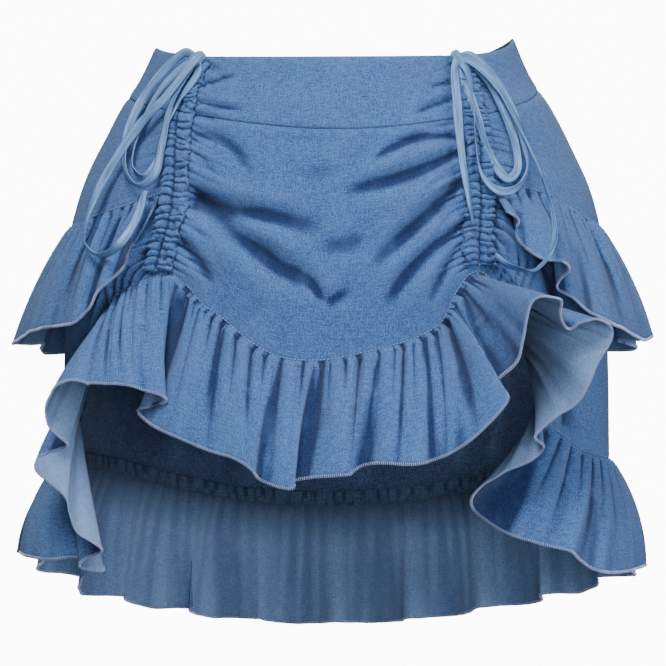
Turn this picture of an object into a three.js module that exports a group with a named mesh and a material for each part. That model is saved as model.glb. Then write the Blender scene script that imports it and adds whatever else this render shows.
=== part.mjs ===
// Bustle skirt in blue chambray, worn pose, hollow inside.
// Millimetres, +Z up, the front faces -Y. The origin is the middle of the waist, where the wearer holds it.
// A "turn" is an angle round the body in degrees: 0 is the front, +90 the +X side, 180 the back.

import * as THREE from 'three';

// Cloth walls
const CLOTH = 1.6;
const BAND = 2.0;
const SEAM_GAP = 1.0;
const JOIN_GAP = 0.4;
const NECK_OUT = 4.0;
const NECK_DOWN = 2.0;

// The panel under the upper ruffle starts this far below its seam, a little deeper than the yoke
const RUFFLE_SLOT = 2.6;
const SLOT_SINK = -0.8;

// Side seams, half a seam gap as a turn (0.2 mm on the body), and a height inside every panel
const SIDE = 90;
const HALF_GAP = 0.08;
const MIDDLE_HEIGHT = -100;
const CROWD = 1.5;

// Spacing of a ruffle's points: crowding towards the neck, and the sewn edge's share of each step
const FALL_SPACING = 1.25;
const SEAM_SHARE = 4;

// Gathers along a sewn edge: height at the neck, and how far down the ruffle they fade out
const GATHER = 0.9;
const GATHER_FADE = 0.6;

// Ruffle fall: where along it the bow acts, and how many points a wave of the back rows has
const BOW_AT = 0.45;
const POINTS_PER_WAVE = 4;

// Casings: half width, top, clearance from the body, thickness and puckers; TURN_PER_SLOPE is the turn
// that a sideways step as long as the body's half width takes there
const CASING_HALF = 11.5;
const CASING_TOP = -19;
const CASING_INNER = 1.6;
const CASING_THIN = 1.2;
const PUCKER = 1.7;
const PUCKER_PITCH = 7;
const CENTRE_GROOVE = 0.5;
const EDGE_PUCKER = 0.35;
const TURN_PER_SLOPE = 60;

// Satin ribbon
const RIBBON_WIDTH = 7;
const RIBBON_THICK = 0.9;
const RIBBON_STEP = 8;
const KNOT_HALF = [5.5, 2.2, 5];
const KNOT_GAP = 7.6;

// Back half of each ruffle: waves, depth, stand-off and wave size, easing in from its end rows
const HEM_WAVES = 11;
const HEM_DEPTH = 99;
const HEM_FLARE = 26;
const UPPER_WAVES = 10;
const UPPER_DEPTH = 86;
const UPPER_FLARE = 36;
const WAVE_OUT = 11;
const WAVE_SIDE = 5;
const WAVE_DROP = 2;
const WAVE_CHANGE = 0.3;
const CHANGE_PACE = 0.7;
const BACK_BOW = 9;
const BOW_CHANGE = 3;
const END_CALM = 12;
const END_BLEND = 5;

// Body sections: depth below the waist level, half width, depth to the front and to the back
const BODY = [
  { down: -12, half: 128, front: 90, back: 89 },
  { down: 0, half: 132, front: 92, back: 92 },
  { down: 26, half: 143.5, front: 98, back: 100 },
  { down: 46, half: 157, front: 103, back: 107 },
  { down: 67, half: 168, front: 107, back: 113 },
  { down: 98, half: 183, front: 112, back: 123 },
  { down: 118, half: 190, front: 114, back: 128 },
  { down: 142, half: 195, front: 115.5, back: 133 },
  { down: 226, half: 200, front: 116, back: 140 },
  { down: 350, half: 202, front: 114, back: 143 },
];

// Waistband: height of its top and bottom edge at each turn
const WAIST = [
  { turn: -180, top: -12, bottom: -57 },
  { turn: -135, top: -8, bottom: -49 },
  { turn: -90, top: -2, bottom: -39 },
  { turn: -60, top: -10, bottom: -48 },
  { turn: -40, top: -15, bottom: -57 },
  { turn: 0, top: -17, bottom: -69 },
  { turn: 40, top: -14, bottom: -57 },
  { turn: 60, top: -8, bottom: -46 },
  { turn: 90, top: 5, bottom: -33 },
  { turn: 135, top: -5, bottom: -46 },
  { turn: 180, top: -12, bottom: -57 },
];

// Seam that carries the upper ruffle
const UPPER_SEAM = [
  { turn: -180, z: -150 },
  { turn: -140, z: -148 },
  { turn: -90, z: -136 },
  { turn: -70, z: -131 },
  { turn: -55, z: -124 },
  { turn: -46, z: -118 },
  { turn: -37, z: -112 },
  { turn: 32, z: -111 },
  { turn: 45, z: -110 },
  { turn: 53, z: -114 },
  { turn: 68, z: -129 },
  { turn: 90, z: -136 },
  { turn: 140, z: -148 },
  { turn: 180, z: -150 },
];

// Hem seam: low at the back, a shallow U in front, pulled up to a cusp at each casing
const HEM_SEAM = [
  { turn: -180, z: -343 },
  { turn: -165, z: -341 },
  { turn: -150, z: -333 },
  { turn: -135, z: -322 },
  { turn: -120, z: -312 },
  { turn: -105, z: -308 },
  { turn: -90, z: -306 },
  { turn: -78, z: -297 },
  { turn: -70, z: -282 },
  { turn: -65, z: -262 },
  { turn: -60, z: -230 },
  { turn: -56, z: -202 },
  { turn: -52, z: -187 },
  { turn: -48, z: -181 },
  { turn: -42, z: -175 },
  { turn: -36, z: -172 },
  { turn: -32, z: -180 },
  { turn: -28, z: -193 },
  { turn: -23, z: -204 },
  { turn: -17, z: -220 },
  { turn: -11, z: -230 },
  { turn: -3, z: -232 },
  { turn: 5, z: -227 },
  { turn: 11, z: -222 },
  { turn: 17, z: -215 },
  { turn: 22, z: -204 },
  { turn: 24.5, z: -188 },
  { turn: 27, z: -176 },
  { turn: 29, z: -171 },
  { turn: 31, z: -170 },
  { turn: 33, z: -174 },
  { turn: 36, z: -184 },
  { turn: 40, z: -207 },
  { turn: 43, z: -230 },
  { turn: 46, z: -255 },
  { turn: 49, z: -277 },
  { turn: 55, z: -288 },
  { turn: 62, z: -298 },
  { turn: 75, z: -303 },
  { turn: 90, z: -306 },
  { turn: 105, z: -307 },
  { turn: 120, z: -309 },
  { turn: 135, z: -320 },
  { turn: 150, z: -331 },
  { turn: 165, z: -340 },
  { turn: 180, z: -343 },
];

// Middle line of each casing
const CASINGS = [
  { down: 12, left: -45, right: 40 },
  { down: 31, left: -44, right: 38 },
  { down: 55, left: -42.5, right: 36 },
  { down: 76, left: -40.5, right: 35.3 },
  { down: 98, left: -38, right: 33.4 },
  { down: 118, left: -37, right: 32 },
  { down: 140, left: -37.4, right: 30.8 },
  { down: 157, left: -39, right: 30.6 },
  { down: 180, left: -40.4, right: 30.6 },
];

// Bunched cloth beside the foot of each casing: it stands out as far as this edge, then drops back
const FLAPS = [
  { down: 118, left: -38, right: 33 },
  { down: 132, left: -40, right: 35.6 },
  { down: 147, left: -42.5, right: 40 },
  { down: 157, left: -46.7, right: 42 },
  { down: 169, left: -50.5, right: 44 },
  { down: 185, left: -54.5, right: 46 },
  { down: 240, left: -62, right: 49 },
];
const FLAP_OUT = 11;
const FLAP_DROP = 5;
const FLAP_TOP = -116;
const FLAP_RISE = 30;
const FLAP_FADE = 22;
const FLAP_CLEAR = 4;
const FLAP_START = 3.5;

// Largest folds of the draped front, each a curve through three points
const FRONT_FOLDS = [
  { x0: -110, z0: -112, x1: -64, z1: -128, x2: 5, z2: -139, deep: 6, wide: 8 },
  { x0: -96, z0: -124, x1: -62, z1: -147, x2: -12, z2: -186, deep: 8, wide: 9 },
  { x0: -112, z0: -149, x1: -98, z1: -161, x2: -80, z2: -181, deep: 5, wide: 7 },
  { x0: -101, z0: -74, x1: -74, z1: -82, x2: -58, z2: -107, deep: 4, wide: 7 },
  { x0: -104, z0: -57, x1: -92, z1: -60, x2: -80, z2: -66, deep: 3, wide: 5 },
  { x0: 84, z0: -74, x1: 50, z1: -78, x2: 22, z2: -96, deep: 4, wide: 7 },
  { x0: 85, z0: -87, x1: 42, z1: -104, x2: -5, z2: -114, deep: 5, wide: 8 },
  { x0: 88, z0: -108, x1: 58, z1: -136, x2: 20, z2: -168, deep: 8, wide: 9 },
  { x0: 90, z0: -138, x1: 58, z1: -161, x2: 30, z2: -199, deep: 6, wide: 8 },
  { x0: 89, z0: -149, x1: 76, z1: -168, x2: 64, z2: -192, deep: 4, wide: 6 },
];

// A fold's low ridges, how soon it dies out at its end, and how far from a casing folds start
const RIDGE = 0.45;
const FOLD_END = 3;
const FOLD_CLEAR = 3;
const FOLD_START = 4;
const FOLD_REACH = 80;

// Hem ruffle, one row for each turn of its edge: seam turn, edge point, and how far the cloth bows out
const HEM_FRONT_ROWS = [
  { turn: -53, x: -173, y: -126, z: -246, bow: 12 },
  { turn: -48, x: -148, y: -131, z: -248, bow: 12 },
  { turn: -42, x: -129, y: -131, z: -253, bow: 10 },
  { turn: -37.5, x: -117, y: -127, z: -259, bow: 6 },
  { turn: -34.5, x: -128, y: -116, z: -264, bow: -5 },
  { turn: -32.5, x: -140, y: -109, z: -267, bow: -10 },
  { turn: -30.5, x: -131, y: -121, z: -275, bow: -3 },
  { turn: -28.5, x: -119, y: -132, z: -281, bow: 6 },
  { turn: -25.5, x: -104, y: -138, z: -287, bow: 9 },
  { turn: -21.5, x: -87, y: -142, z: -294, bow: 6 },
  { turn: -18, x: -70, y: -147, z: -299, bow: 10 },
  { turn: -14.5, x: -57, y: -152, z: -307, bow: 7 },
  { turn: -11.5, x: -53, y: -147, z: -313, bow: 5 },
  { turn: -8.5, x: -40, y: -153, z: -318, bow: 9 },
  { turn: -6, x: -29, y: -153, z: -319, bow: 8 },
  { turn: -4, x: -26, y: -145, z: -313, bow: 4 },
  { turn: 0, x: -2, y: -150, z: -311, bow: 9 },
  { turn: 4, x: 10, y: -152, z: -309, bow: 7 },
  { turn: 8, x: 20, y: -145, z: -303, bow: 4 },
  { turn: 12, x: 36, y: -151, z: -302, bow: 9 },
  { turn: 15.5, x: 54, y: -153, z: -303, bow: 7 },
  { turn: 18, x: 66, y: -149, z: -300, bow: 5 },
  { turn: 20.5, x: 79, y: -151, z: -294, bow: 10 },
  { turn: 22, x: 97, y: -151, z: -282, bow: 10 },
  { turn: 23.2, x: 118, y: -150, z: -259, bow: 9 },
  { turn: 24.6, x: 111, y: -142, z: -246, bow: 5 },
  { turn: 26, x: 125, y: -154, z: -231, bow: 9 },
  { turn: 28, x: 131, y: -164, z: -205, bow: 11 },
  { turn: 29.3, x: 134, y: -170, z: -190, bow: 12 },
];

const HEM_RIGHT_ROWS = [
  { turn: 29.3, x: 134, y: -170, z: -190, bow: 12 },
  { turn: 30.6, x: 144, y: -167, z: -187, bow: 12 },
  { turn: 31.7, x: 154, y: -157, z: -190, bow: 9 },
  { turn: 32.5, x: 156, y: -142, z: -200, bow: 3 },
  { turn: 33.3, x: 162, y: -131, z: -209, bow: 2 },
  { turn: 34.1, x: 170, y: -134, z: -205, bow: 8 },
  { turn: 34.9, x: 182, y: -129, z: -202, bow: 10 },
  { turn: 35.7, x: 192, y: -118, z: -208, bow: 10 },
  { turn: 36.8, x: 192, y: -115, z: -218, bow: 10 },
  { turn: 38.2, x: 182, y: -120, z: -234, bow: 9 },
  { turn: 39.5, x: 176, y: -124, z: -248, bow: 9 },
  { turn: 40.8, x: 168, y: -126, z: -260, bow: 8 },
  { turn: 42.2, x: 152, y: -128, z: -271, bow: 8 },
  { turn: 43.4, x: 138, y: -126, z: -284, bow: 6 },
  { turn: 44.4, x: 144, y: -115, z: -292, bow: 3 },
  { turn: 45.2, x: 136, y: -117, z: -301, bow: 5 },
  { turn: 46.2, x: 118, y: -119, z: -308, bow: 6 },
  { turn: 47.2, x: 103, y: -117, z: -317, bow: 4 },
  { turn: 48.2, x: 95, y: -107, z: -329, bow: -2 },
  { turn: 49.4, x: 100, y: -98, z: -340, bow: -5 },
  { turn: 51.5, x: 119, y: -98, z: -353, bow: 3 },
  { turn: 54.5, x: 137, y: -99, z: -359, bow: 7 },
  { turn: 58, x: 151, y: -98, z: -363, bow: 4 },
  { turn: 62, x: 166, y: -97, z: -367, bow: 9 },
  { turn: 65.5, x: 174, y: -86, z: -375, bow: 5 },
  { turn: 70, x: 188, y: -77, z: -382, bow: 9 },
  { turn: 76, x: 206, y: -56, z: -384, bow: 8 },
  { turn: 84, x: 222, y: -29, z: -383, bow: 12 },
  { turn: 92, x: 230, y: 2, z: -383, bow: 14 },
];

const HEM_LEFT_ROWS = [
  { turn: -53, x: -173, y: -126, z: -246, bow: 12 },
  { turn: -54.5, x: -188, y: -122, z: -245, bow: 12 },
  { turn: -55.6, x: -199, y: -113, z: -252, bow: 10 },
  { turn: -56.5, x: -205, y: -104, z: -264, bow: 11 },
  { turn: -57.4, x: -204, y: -99, z: -276, bow: 9 },
  { turn: -58.4, x: -197, y: -93, z: -285, bow: 5 },
  { turn: -59.4, x: -191, y: -84, z: -292, bow: 0 },
  { turn: -60.4, x: -201, y: -76, z: -297, bow: 6 },
  { turn: -61.4, x: -213, y: -72, z: -302, bow: 11 },
  { turn: -62.4, x: -214, y: -74, z: -310, bow: 11 },
  { turn: -63.2, x: -204, y: -82, z: -318, bow: 8 },
  { turn: -64, x: -192, y: -87, z: -328, bow: 6 },
  { turn: -64.8, x: -188, y: -86, z: -340, bow: 6 },
  { turn: -65.6, x: -184, y: -84, z: -352, bow: 5 },
  { turn: -66.5, x: -174, y: -79, z: -360, bow: 4 },
  { turn: -67.5, x: -166, y: -70, z: -368, bow: 0 },
  { turn: -68.6, x: -180, y: -63, z: -375, bow: 2 },
  { turn: -69.6, x: -182, y: -60, z: -381, bow: 3 },
  { turn: -70.6, x: -168, y: -60, z: -383, bow: 0 },
  { turn: -72, x: -170, y: -50, z: -379, bow: -2 },
  { turn: -74.5, x: -187, y: -50, z: -374, bow: 5 },
  { turn: -78.5, x: -207, y: -41, z: -376, bow: 9 },
  { turn: -84, x: -225, y: -20, z: -375, bow: 12 },
  { turn: -92, x: -235, y: 6, z: -374, bow: 14 },
];

// Upper ruffle, the same columns
const UPPER_RIGHT_ROWS = [
  { turn: 36.8, x: 121, y: -113, z: -127, bow: 3 },
  { turn: 37.8, x: 128, y: -113, z: -133, bow: 4 },
  { turn: 39, x: 126, y: -104, z: -140, bow: 2 },
  { turn: 40.4, x: 130, y: -110, z: -150, bow: 5 },
  { turn: 42.4, x: 137, y: -117, z: -157, bow: 7 },
  { turn: 44.6, x: 146, y: -120, z: -162, bow: 8 },
  { turn: 47, x: 157, y: -119, z: -163, bow: 7 },
  { turn: 48.8, x: 163, y: -112, z: -168, bow: 5 },
  { turn: 50.2, x: 157, y: -105, z: -176, bow: 2 },
  { turn: 51.8, x: 157, y: -102, z: -182, bow: 2 },
  { turn: 54, x: 167, y: -102, z: -188, bow: 6 },
  { turn: 58, x: 180, y: -92, z: -197, bow: 5 },
  { turn: 62, x: 196, y: -77, z: -206, bow: 8 },
  { turn: 67, x: 206, y: -62, z: -209, bow: 6 },
  { turn: 73, x: 217, y: -45, z: -215, bow: 8 },
  { turn: 80, x: 225, y: -25, z: -218, bow: 6 },
  { turn: 88, x: 233, y: 1, z: -214, bow: 9 },
  { turn: 94, x: 232, y: 20, z: -216, bow: 8 },
];

const UPPER_LEFT_ROWS = [
  { turn: -42, x: -143, y: -96, z: -150, bow: 3 },
  { turn: -43.6, x: -150, y: -97, z: -162, bow: 5 },
  { turn: -46, x: -157, y: -92, z: -173, bow: 3 },
  { turn: -49.5, x: -167, y: -92, z: -183, bow: 7 },
  { turn: -53, x: -174, y: -83, z: -194, bow: 4 },
  { turn: -57.5, x: -185, y: -82, z: -205, bow: 7 },
  { turn: -62, x: -194, y: -72, z: -207, bow: 4 },
  { turn: -67, x: -204, y: -60, z: -208, bow: 6 },
  { turn: -72.5, x: -217, y: -43, z: -211, bow: 7 },
  { turn: -80, x: -229, y: -20, z: -216, bow: 7 },
  { turn: -88, x: -239, y: 1, z: -220, bow: 8 },
  { turn: -94, x: -237, y: 20, z: -220, bow: 8 },
];

// Ribbon routes: sideways place, height, and how far in front of the body
const KNOTS = [
  { side: 'left', x: -99, z: -17 },
  { side: 'right', x: 86, z: -18 },
];

const RIBBONS = [
  {
    name: 'ribbon_left_tail_long',
    route: [
      { x: -104, z: -23, gap: 11.5 },
      { x: -121, z: -44, gap: 11 },
      { x: -141, z: -65, gap: 11 },
      { x: -156, z: -86, gap: 11 },
      { x: -169, z: -108, gap: 11 },
      { x: -178, z: -132, gap: 16 },
      { x: -178, z: -148, gap: 20 },
      { x: -167, z: -157, gap: 22 },
      { x: -152, z: -150, gap: 22 },
      { x: -141, z: -132, gap: 16 },
      { x: -135, z: -112, gap: 10 },
    ],
  },
  {
    name: 'ribbon_left_loop_outer',
    route: [
      { x: -107, z: -12, gap: 8.8 },
      { x: -119, z: -20, gap: 8.6 },
      { x: -131, z: -33, gap: 8.6 },
      { x: -144, z: -54, gap: 8.6 },
      { x: -151, z: -76, gap: 8.6 },
      { x: -149, z: -98, gap: 8.6 },
      { x: -139, z: -108, gap: 8.6 },
      { x: -128, z: -100, gap: 8.6 },
      { x: -123, z: -78, gap: 8.6 },
      { x: -117, z: -50, gap: 8.6 },
      { x: -104, z: -26, gap: 8.6 },
    ],
  },
  {
    name: 'ribbon_left_loop_inner',
    route: [
      { x: -98, z: -27, gap: 6.4 },
      { x: -111, z: -46, gap: 6.4 },
      { x: -122, z: -70, gap: 6.4 },
      { x: -128, z: -92, gap: 6.2 },
      { x: -136, z: -102, gap: 5.5 },
      { x: -144, z: -95, gap: 5.5 },
      { x: -143, z: -76, gap: 5.5 },
      { x: -134, z: -52, gap: 5.5 },
      { x: -121, z: -33, gap: 6 },
      { x: -107, z: -21, gap: 6.2 },
    ],
  },
  {
    name: 'ribbon_right_tail_short',
    route: [
      { x: 84, z: -25, gap: 8.2 },
      { x: 85, z: -50, gap: 10.8 },
      { x: 87, z: -78, gap: 10.8 },
      { x: 91, z: -108, gap: 10.8 },
      { x: 96, z: -136, gap: 10.8 },
    ],
  },
  {
    name: 'ribbon_right_loop_outer',
    route: [
      { x: 92, z: -25, gap: 8.6 },
      { x: 97, z: -52, gap: 8.6 },
      { x: 98, z: -80, gap: 8.6 },
      { x: 103, z: -102, gap: 9 },
      { x: 114, z: -112, gap: 10.5 },
      { x: 127, z: -110, gap: 10.5 },
      { x: 135, z: -96, gap: 9 },
      { x: 133, z: -76, gap: 8.6 },
      { x: 124, z: -51, gap: 8.6 },
      { x: 111, z: -28, gap: 8.6 },
      { x: 95, z: -15, gap: 8.6 },
    ],
  },
  {
    name: 'ribbon_right_loop_inner',
    route: [
      { x: 89, z: -28, gap: 6.4 },
      { x: 99, z: -58, gap: 6.4 },
      { x: 105, z: -78, gap: 6.4 },
      { x: 113, z: -95, gap: 6 },
      { x: 121, z: -103, gap: 5.5 },
      { x: 128, z: -97, gap: 5.5 },
      { x: 127, z: -78, gap: 5.5 },
      { x: 119, z: -54, gap: 5.5 },
      { x: 108, z: -33, gap: 6 },
      { x: 95, z: -20, gap: 6.4 },
    ],
  },
  {
    name: 'ribbon_right_tail_long',
    route: [
      { x: 93.6, z: -18, gap: 10.1 },
      { x: 113, z: -35, gap: 12.6 },
      { x: 127, z: -60, gap: 12.6 },
      { x: 140, z: -88, gap: 12.6 },
      { x: 149, z: -114, gap: 20 },
      { x: 152, z: -140, gap: 36 },
      { x: 147, z: -158, gap: 44 },
      { x: 134, z: -168, gap: 34 },
      { x: 121, z: -165, gap: 20 },
      { x: 112, z: -158, gap: 9 },
    ],
  },
];

// Colours by eye
const DENIM = { color: 0x6489ba, roughness: 0.92 };
const DENIM_LIGHT = { color: 0x7398c6, roughness: 0.92 };
const SATIN = { color: 0x93b3da, roughness: 0.38 };

const skirt = new THREE.Group();

function smooth(t) {
  const k = Math.min(1, Math.max(0, t));
  return k * k * (3 - 2 * k);
}

function mix(a, b, t) {
  return a + (b - a) * t;
}

// Slope of a table column at one row, from its neighbours
function slopeAt(table, key, column, i) {
  const before = table[Math.max(0, i - 1)];
  const after = table[Math.min(table.length - 1, i + 1)];
  return (after[column] - before[column]) / (after[key] - before[key]);
}

// Smooth reading of one column of a table between its rows
function read(table, key, value, column) {
  const last = table.length - 1;
  const at = Math.min(table[last][key], Math.max(table[0][key], value));
  let i = 0;
  while (i < last - 1 && at > table[i + 1][key]) {
    i += 1;
  }
  const span = table[i + 1][key] - table[i][key];
  const t = (at - table[i][key]) / span;
  const here = table[i][column];
  const next = table[i + 1][column];
  const h1 = t * t * t - 2 * t * t + t;
  const h2 = t * t * t - t * t;
  const bend = h1 * slopeAt(table, key, column, i) + h2 * slopeAt(table, key, column, i + 1);
  return mix(here, next, smooth(t)) + span * bend;
}

// Turn kept within the half round each side that the tables cover
function wrapTurn(turn) {
  return turn > 180 ? turn - 360 : turn;
}

function radians(turn) {
  return (turn * Math.PI) / 180;
}

// Horizontal outward direction of the body at a turn and height
function outward(turn, z) {
  const a = radians(turn);
  const half = read(BODY, 'down', -z, 'half');
  const deep = read(BODY, 'down', -z, Math.cos(a) > 0 ? 'front' : 'back');
  return new THREE.Vector3(Math.sin(a) / half, -Math.cos(a) / deep, 0).normalize();
}

// Shortest distance from a point to a curve through three points, as a row of FRONT_FOLDS gives it
function foldDistance(fold, x, z) {
  const steps = 10;
  let best = Infinity;
  let along = 0;
  for (let i = 0; i <= steps; i += 1) {
    const t = i / steps;
    const a = 2 * (t - 0.5) * (t - 1);
    const b = -4 * t * (t - 1);
    const c = 2 * t * (t - 0.5);
    const fx = a * fold.x0 + b * fold.x1 + c * fold.x2;
    const fz = a * fold.z0 + b * fold.z1 + c * fold.z2;
    const d = Math.hypot(fx - x, fz - z);
    if (d < best) {
      best = d;
      along = t;
    }
  }
  return { best, along };
}

// Depth of the drape folds on the front, with a low ridge beside each
function frontRelief(x, z) {
  let sum = 0;
  for (const fold of FRONT_FOLDS) {
    const { best, along } = foldDistance(fold, x, z);
    const strength = smooth((1 - along) * FOLD_END);
    const q = best / fold.wide;
    sum += fold.deep * strength * (RIDGE * Math.exp(-((q / 2) ** 2)) - Math.exp(-q * q));
  }
  return sum;
}

// Bunched cloth outside the foot of each casing
function flapRelief(turn, z) {
  const side = turn < 0 ? 'left' : 'right';
  const edge = Math.abs(read(FLAPS, 'down', -z, side));
  const casing = Math.abs(read(CASINGS, 'down', -z, side));
  const beyond = (Math.abs(turn) - edge) / FLAP_DROP;
  const from = smooth((Math.abs(turn) - casing - FLAP_CLEAR) / FLAP_START);
  const aboveSeam = smooth((z - hemSeam(turn)) / FLAP_FADE);
  return FLAP_OUT * from * smooth((FLAP_TOP - z) / FLAP_RISE) * aboveSeam * (1 - smooth(beyond));
}

// A point of the body cloth, with its folds, moved out by "lift"
function skin(turn, z, lift = 0) {
  const a = radians(turn);
  const half = read(BODY, 'down', -z, 'half');
  const deep = read(BODY, 'down', -z, Math.cos(a) > 0 ? 'front' : 'back');
  const point = new THREE.Vector3(half * Math.sin(a), -deep * Math.cos(a), z);
  const leftEdge = read(CASINGS, 'down', -z, 'left');
  const rightEdge = read(CASINGS, 'down', -z, 'right');
  let relief = 0;
  if (Math.abs(turn) < FOLD_REACH) {
    const fromLeft = smooth((turn - leftEdge - FOLD_CLEAR) / FOLD_START);
    const fromRight = smooth((rightEdge - turn - FOLD_CLEAR) / FOLD_START);
    relief = fromLeft * fromRight * frontRelief(point.x, z) + flapRelief(turn, z);
  }
  return point.addScaledVector(outward(turn, z), relief + lift);
}

// Closed solid between two grids of points with the same columns and rows
function solidBetween(outer, inner) {
  const columns = outer.length;
  const rows = outer[0].length;
  const position = [];
  const index = [];
  const put = (grid) => {
    for (const column of grid) {
      for (const p of column) {
        position.push(p.x, p.y, p.z);
      }
    }
  };
  put(outer);
  put(inner);
  const out = (i, j) => i * rows + j;
  const inn = (i, j) => columns * rows + i * rows + j;
  const quad = (a, b, c, d) => index.push(a, b, c, a, c, d);
  for (let i = 0; i < columns - 1; i += 1) {
    for (let j = 0; j < rows - 1; j += 1) {
      quad(out(i, j), out(i + 1, j), out(i + 1, j + 1), out(i, j + 1));
      quad(inn(i, j), inn(i, j + 1), inn(i + 1, j + 1), inn(i + 1, j));
    }
    quad(out(i, 0), inn(i, 0), inn(i + 1, 0), out(i + 1, 0));
    quad(out(i, rows - 1), out(i + 1, rows - 1), inn(i + 1, rows - 1), inn(i, rows - 1));
  }
  for (let j = 0; j < rows - 1; j += 1) {
    quad(out(0, j), out(0, j + 1), inn(0, j + 1), inn(0, j));
    quad(out(columns - 1, j), inn(columns - 1, j), inn(columns - 1, j + 1), out(columns - 1, j + 1));
  }
  const geometry = new THREE.BufferGeometry();
  geometry.setAttribute('position', new THREE.Float32BufferAttribute(position, 3));
  geometry.setIndex(signedVolume(position, index) < 0 ? index.reverse() : index);
  geometry.computeVertexNormals();
  return geometry;
}

function signedVolume(position, index) {
  const a = new THREE.Vector3();
  const b = new THREE.Vector3();
  const c = new THREE.Vector3();
  let sum = 0;
  for (let i = 0; i < index.length; i += 3) {
    a.fromArray(position, index[i] * 3);
    b.fromArray(position, index[i + 1] * 3);
    c.fromArray(position, index[i + 2] * 3);
    sum += a.dot(b.cross(c));
  }
  return sum;
}

// Direction across a grid of points, at one of them; a ring's last column repeats its first
function gridNormal(grid, i, j, ring) {
  const last = grid.length - 1;
  const atEnd = i === 0 || i === last;
  const left = ring && atEnd ? grid[last - 1][j] : grid[Math.max(0, i - 1)][j];
  const right = ring && atEnd ? grid[1][j] : grid[Math.min(last, i + 1)][j];
  const above = grid[i][Math.max(0, j - 1)];
  const below = grid[i][Math.min(grid[i].length - 1, j + 1)];
  const along = right.clone().sub(left);
  const across = below.clone().sub(above);
  return along.cross(across).normalize();
}

// Two grids half a thickness to each side; firstRow may fix the direction along the sewn edge
function bothSides(grid, thickness, firstRow = null, ring = false) {
  const outer = [];
  const inner = [];
  for (let i = 0; i < grid.length; i += 1) {
    outer.push([]);
    inner.push([]);
    for (let j = 0; j < grid[i].length; j += 1) {
      const normal = gridNormal(grid, i, j, ring);
      if (j === 0 && firstRow) {
        const sign = firstRow[i].dot(normal) < 0 ? -1 : 1;
        normal.copy(firstRow[i]).multiplyScalar(sign);
      }
      outer[i].push(grid[i][j].clone().addScaledVector(normal, thickness / 2));
      inner[i].push(grid[i][j].clone().addScaledVector(normal, -thickness / 2));
    }
  }
  return { outer, inner };
}

// Cloth wall of even thickness through a grid of points
function wall(grid, thickness) {
  const { outer, inner } = bothSides(grid, thickness);
  return solidBetween(outer, inner);
}

function add(name, geometry, look) {
  const material = new THREE.MeshStandardMaterial({ ...look, metalness: 0, side: THREE.DoubleSide });
  const mesh = new THREE.Mesh(geometry, material);
  mesh.name = name;
  skirt.add(mesh);
}

// Panel of the body between two turns, from a top edge down to a bottom edge; its columns crowd
// towards the "from" side where crowd is over 1, and towards the "to" side where it is under 1
function panel({ name, from, to, top, bottom, columns, rows, thickness = CLOTH, lift = 0, crowd = 1 }) {
  const grid = [];
  for (let i = 0; i <= columns; i += 1) {
    const s = crowd < 1 ? 1 - (1 - i / columns) ** (1 / crowd) : (i / columns) ** crowd;
    grid.push([]);
    for (let j = 0; j <= rows; j += 1) {
      let turn = mix(from(MIDDLE_HEIGHT), to(MIDDLE_HEIGHT), s);
      let z = MIDDLE_HEIGHT;
      for (let k = 0; k < 4; k += 1) {
        z = mix(top(turn), bottom(turn), j / rows);
        turn = mix(from(z), to(z), s);
      }
      grid[i].push(skin(turn, z, lift));
    }
  }
  add(name, wall(grid, thickness), DENIM);
}

const waistTop = (turn) => read(WAIST, 'turn', wrapTurn(turn), 'top');
const waistBottom = (turn) => read(WAIST, 'turn', wrapTurn(turn), 'bottom');
const upperSeam = (turn) => read(UPPER_SEAM, 'turn', wrapTurn(turn), 'z');
const hemSeam = (turn) => read(HEM_SEAM, 'turn', wrapTurn(turn), 'z');
const casingLeft = (z) => read(CASINGS, 'down', -z, 'left');
const casingRight = (z) => read(CASINGS, 'down', -z, 'right');

function lower(edge, gap) {
  return (turn) => edge(turn) - gap;
}

function fixed(turn) {
  return () => turn;
}

// Spans of the body between its seams: the sides meet at the side seams, front and sides under the casings
const FRONT_SPAN = { from: (z) => casingLeft(z) + HALF_GAP, to: (z) => casingRight(z) - HALF_GAP };
const RIGHT_SPAN = { from: (z) => casingRight(z) + HALF_GAP, to: fixed(SIDE - HALF_GAP) };
const LEFT_SPAN = { from: fixed(HALF_GAP - SIDE), to: (z) => casingLeft(z) - HALF_GAP };
const BACK_SPAN = { from: fixed(SIDE + HALF_GAP), to: fixed(3 * SIDE - HALF_GAP) };
const FRONT_HALF = { from: fixed(HALF_GAP - SIDE), to: fixed(SIDE - HALF_GAP) };

function buildBands() {
  const band = { top: waistTop, bottom: waistBottom, rows: 3, thickness: BAND };
  panel({ ...band, ...FRONT_HALF, name: 'waistband_front', columns: 26 });
  panel({ ...band, ...BACK_SPAN, name: 'waistband_back', columns: 18 });
}

function buildPanels() {
  const yoke = { top: lower(waistBottom, SEAM_GAP), bottom: upperSeam };
  const skirtPart = { top: lower(upperSeam, RUFFLE_SLOT), bottom: hemSeam, lift: SLOT_SINK };
  panel({ ...yoke, ...FRONT_SPAN, name: 'front_panel', bottom: hemSeam, columns: 26, rows: 14 });
  panel({ ...yoke, ...RIGHT_SPAN, name: 'yoke_right', columns: 9, rows: 4 });
  panel({ ...yoke, ...LEFT_SPAN, name: 'yoke_left', columns: 9, rows: 4 });
  panel({ ...yoke, ...BACK_SPAN, name: 'yoke_back', columns: 16, rows: 3 });
  panel({ ...skirtPart, ...RIGHT_SPAN, name: 'side_panel_right', columns: 20, rows: 7, crowd: CROWD });
  panel({ ...skirtPart, ...LEFT_SPAN, name: 'side_panel_left', columns: 20, rows: 7, crowd: 1 / CROWD });
  panel({ ...skirtPart, ...BACK_SPAN, name: 'back_panel', columns: 18, rows: 4 });
}

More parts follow.
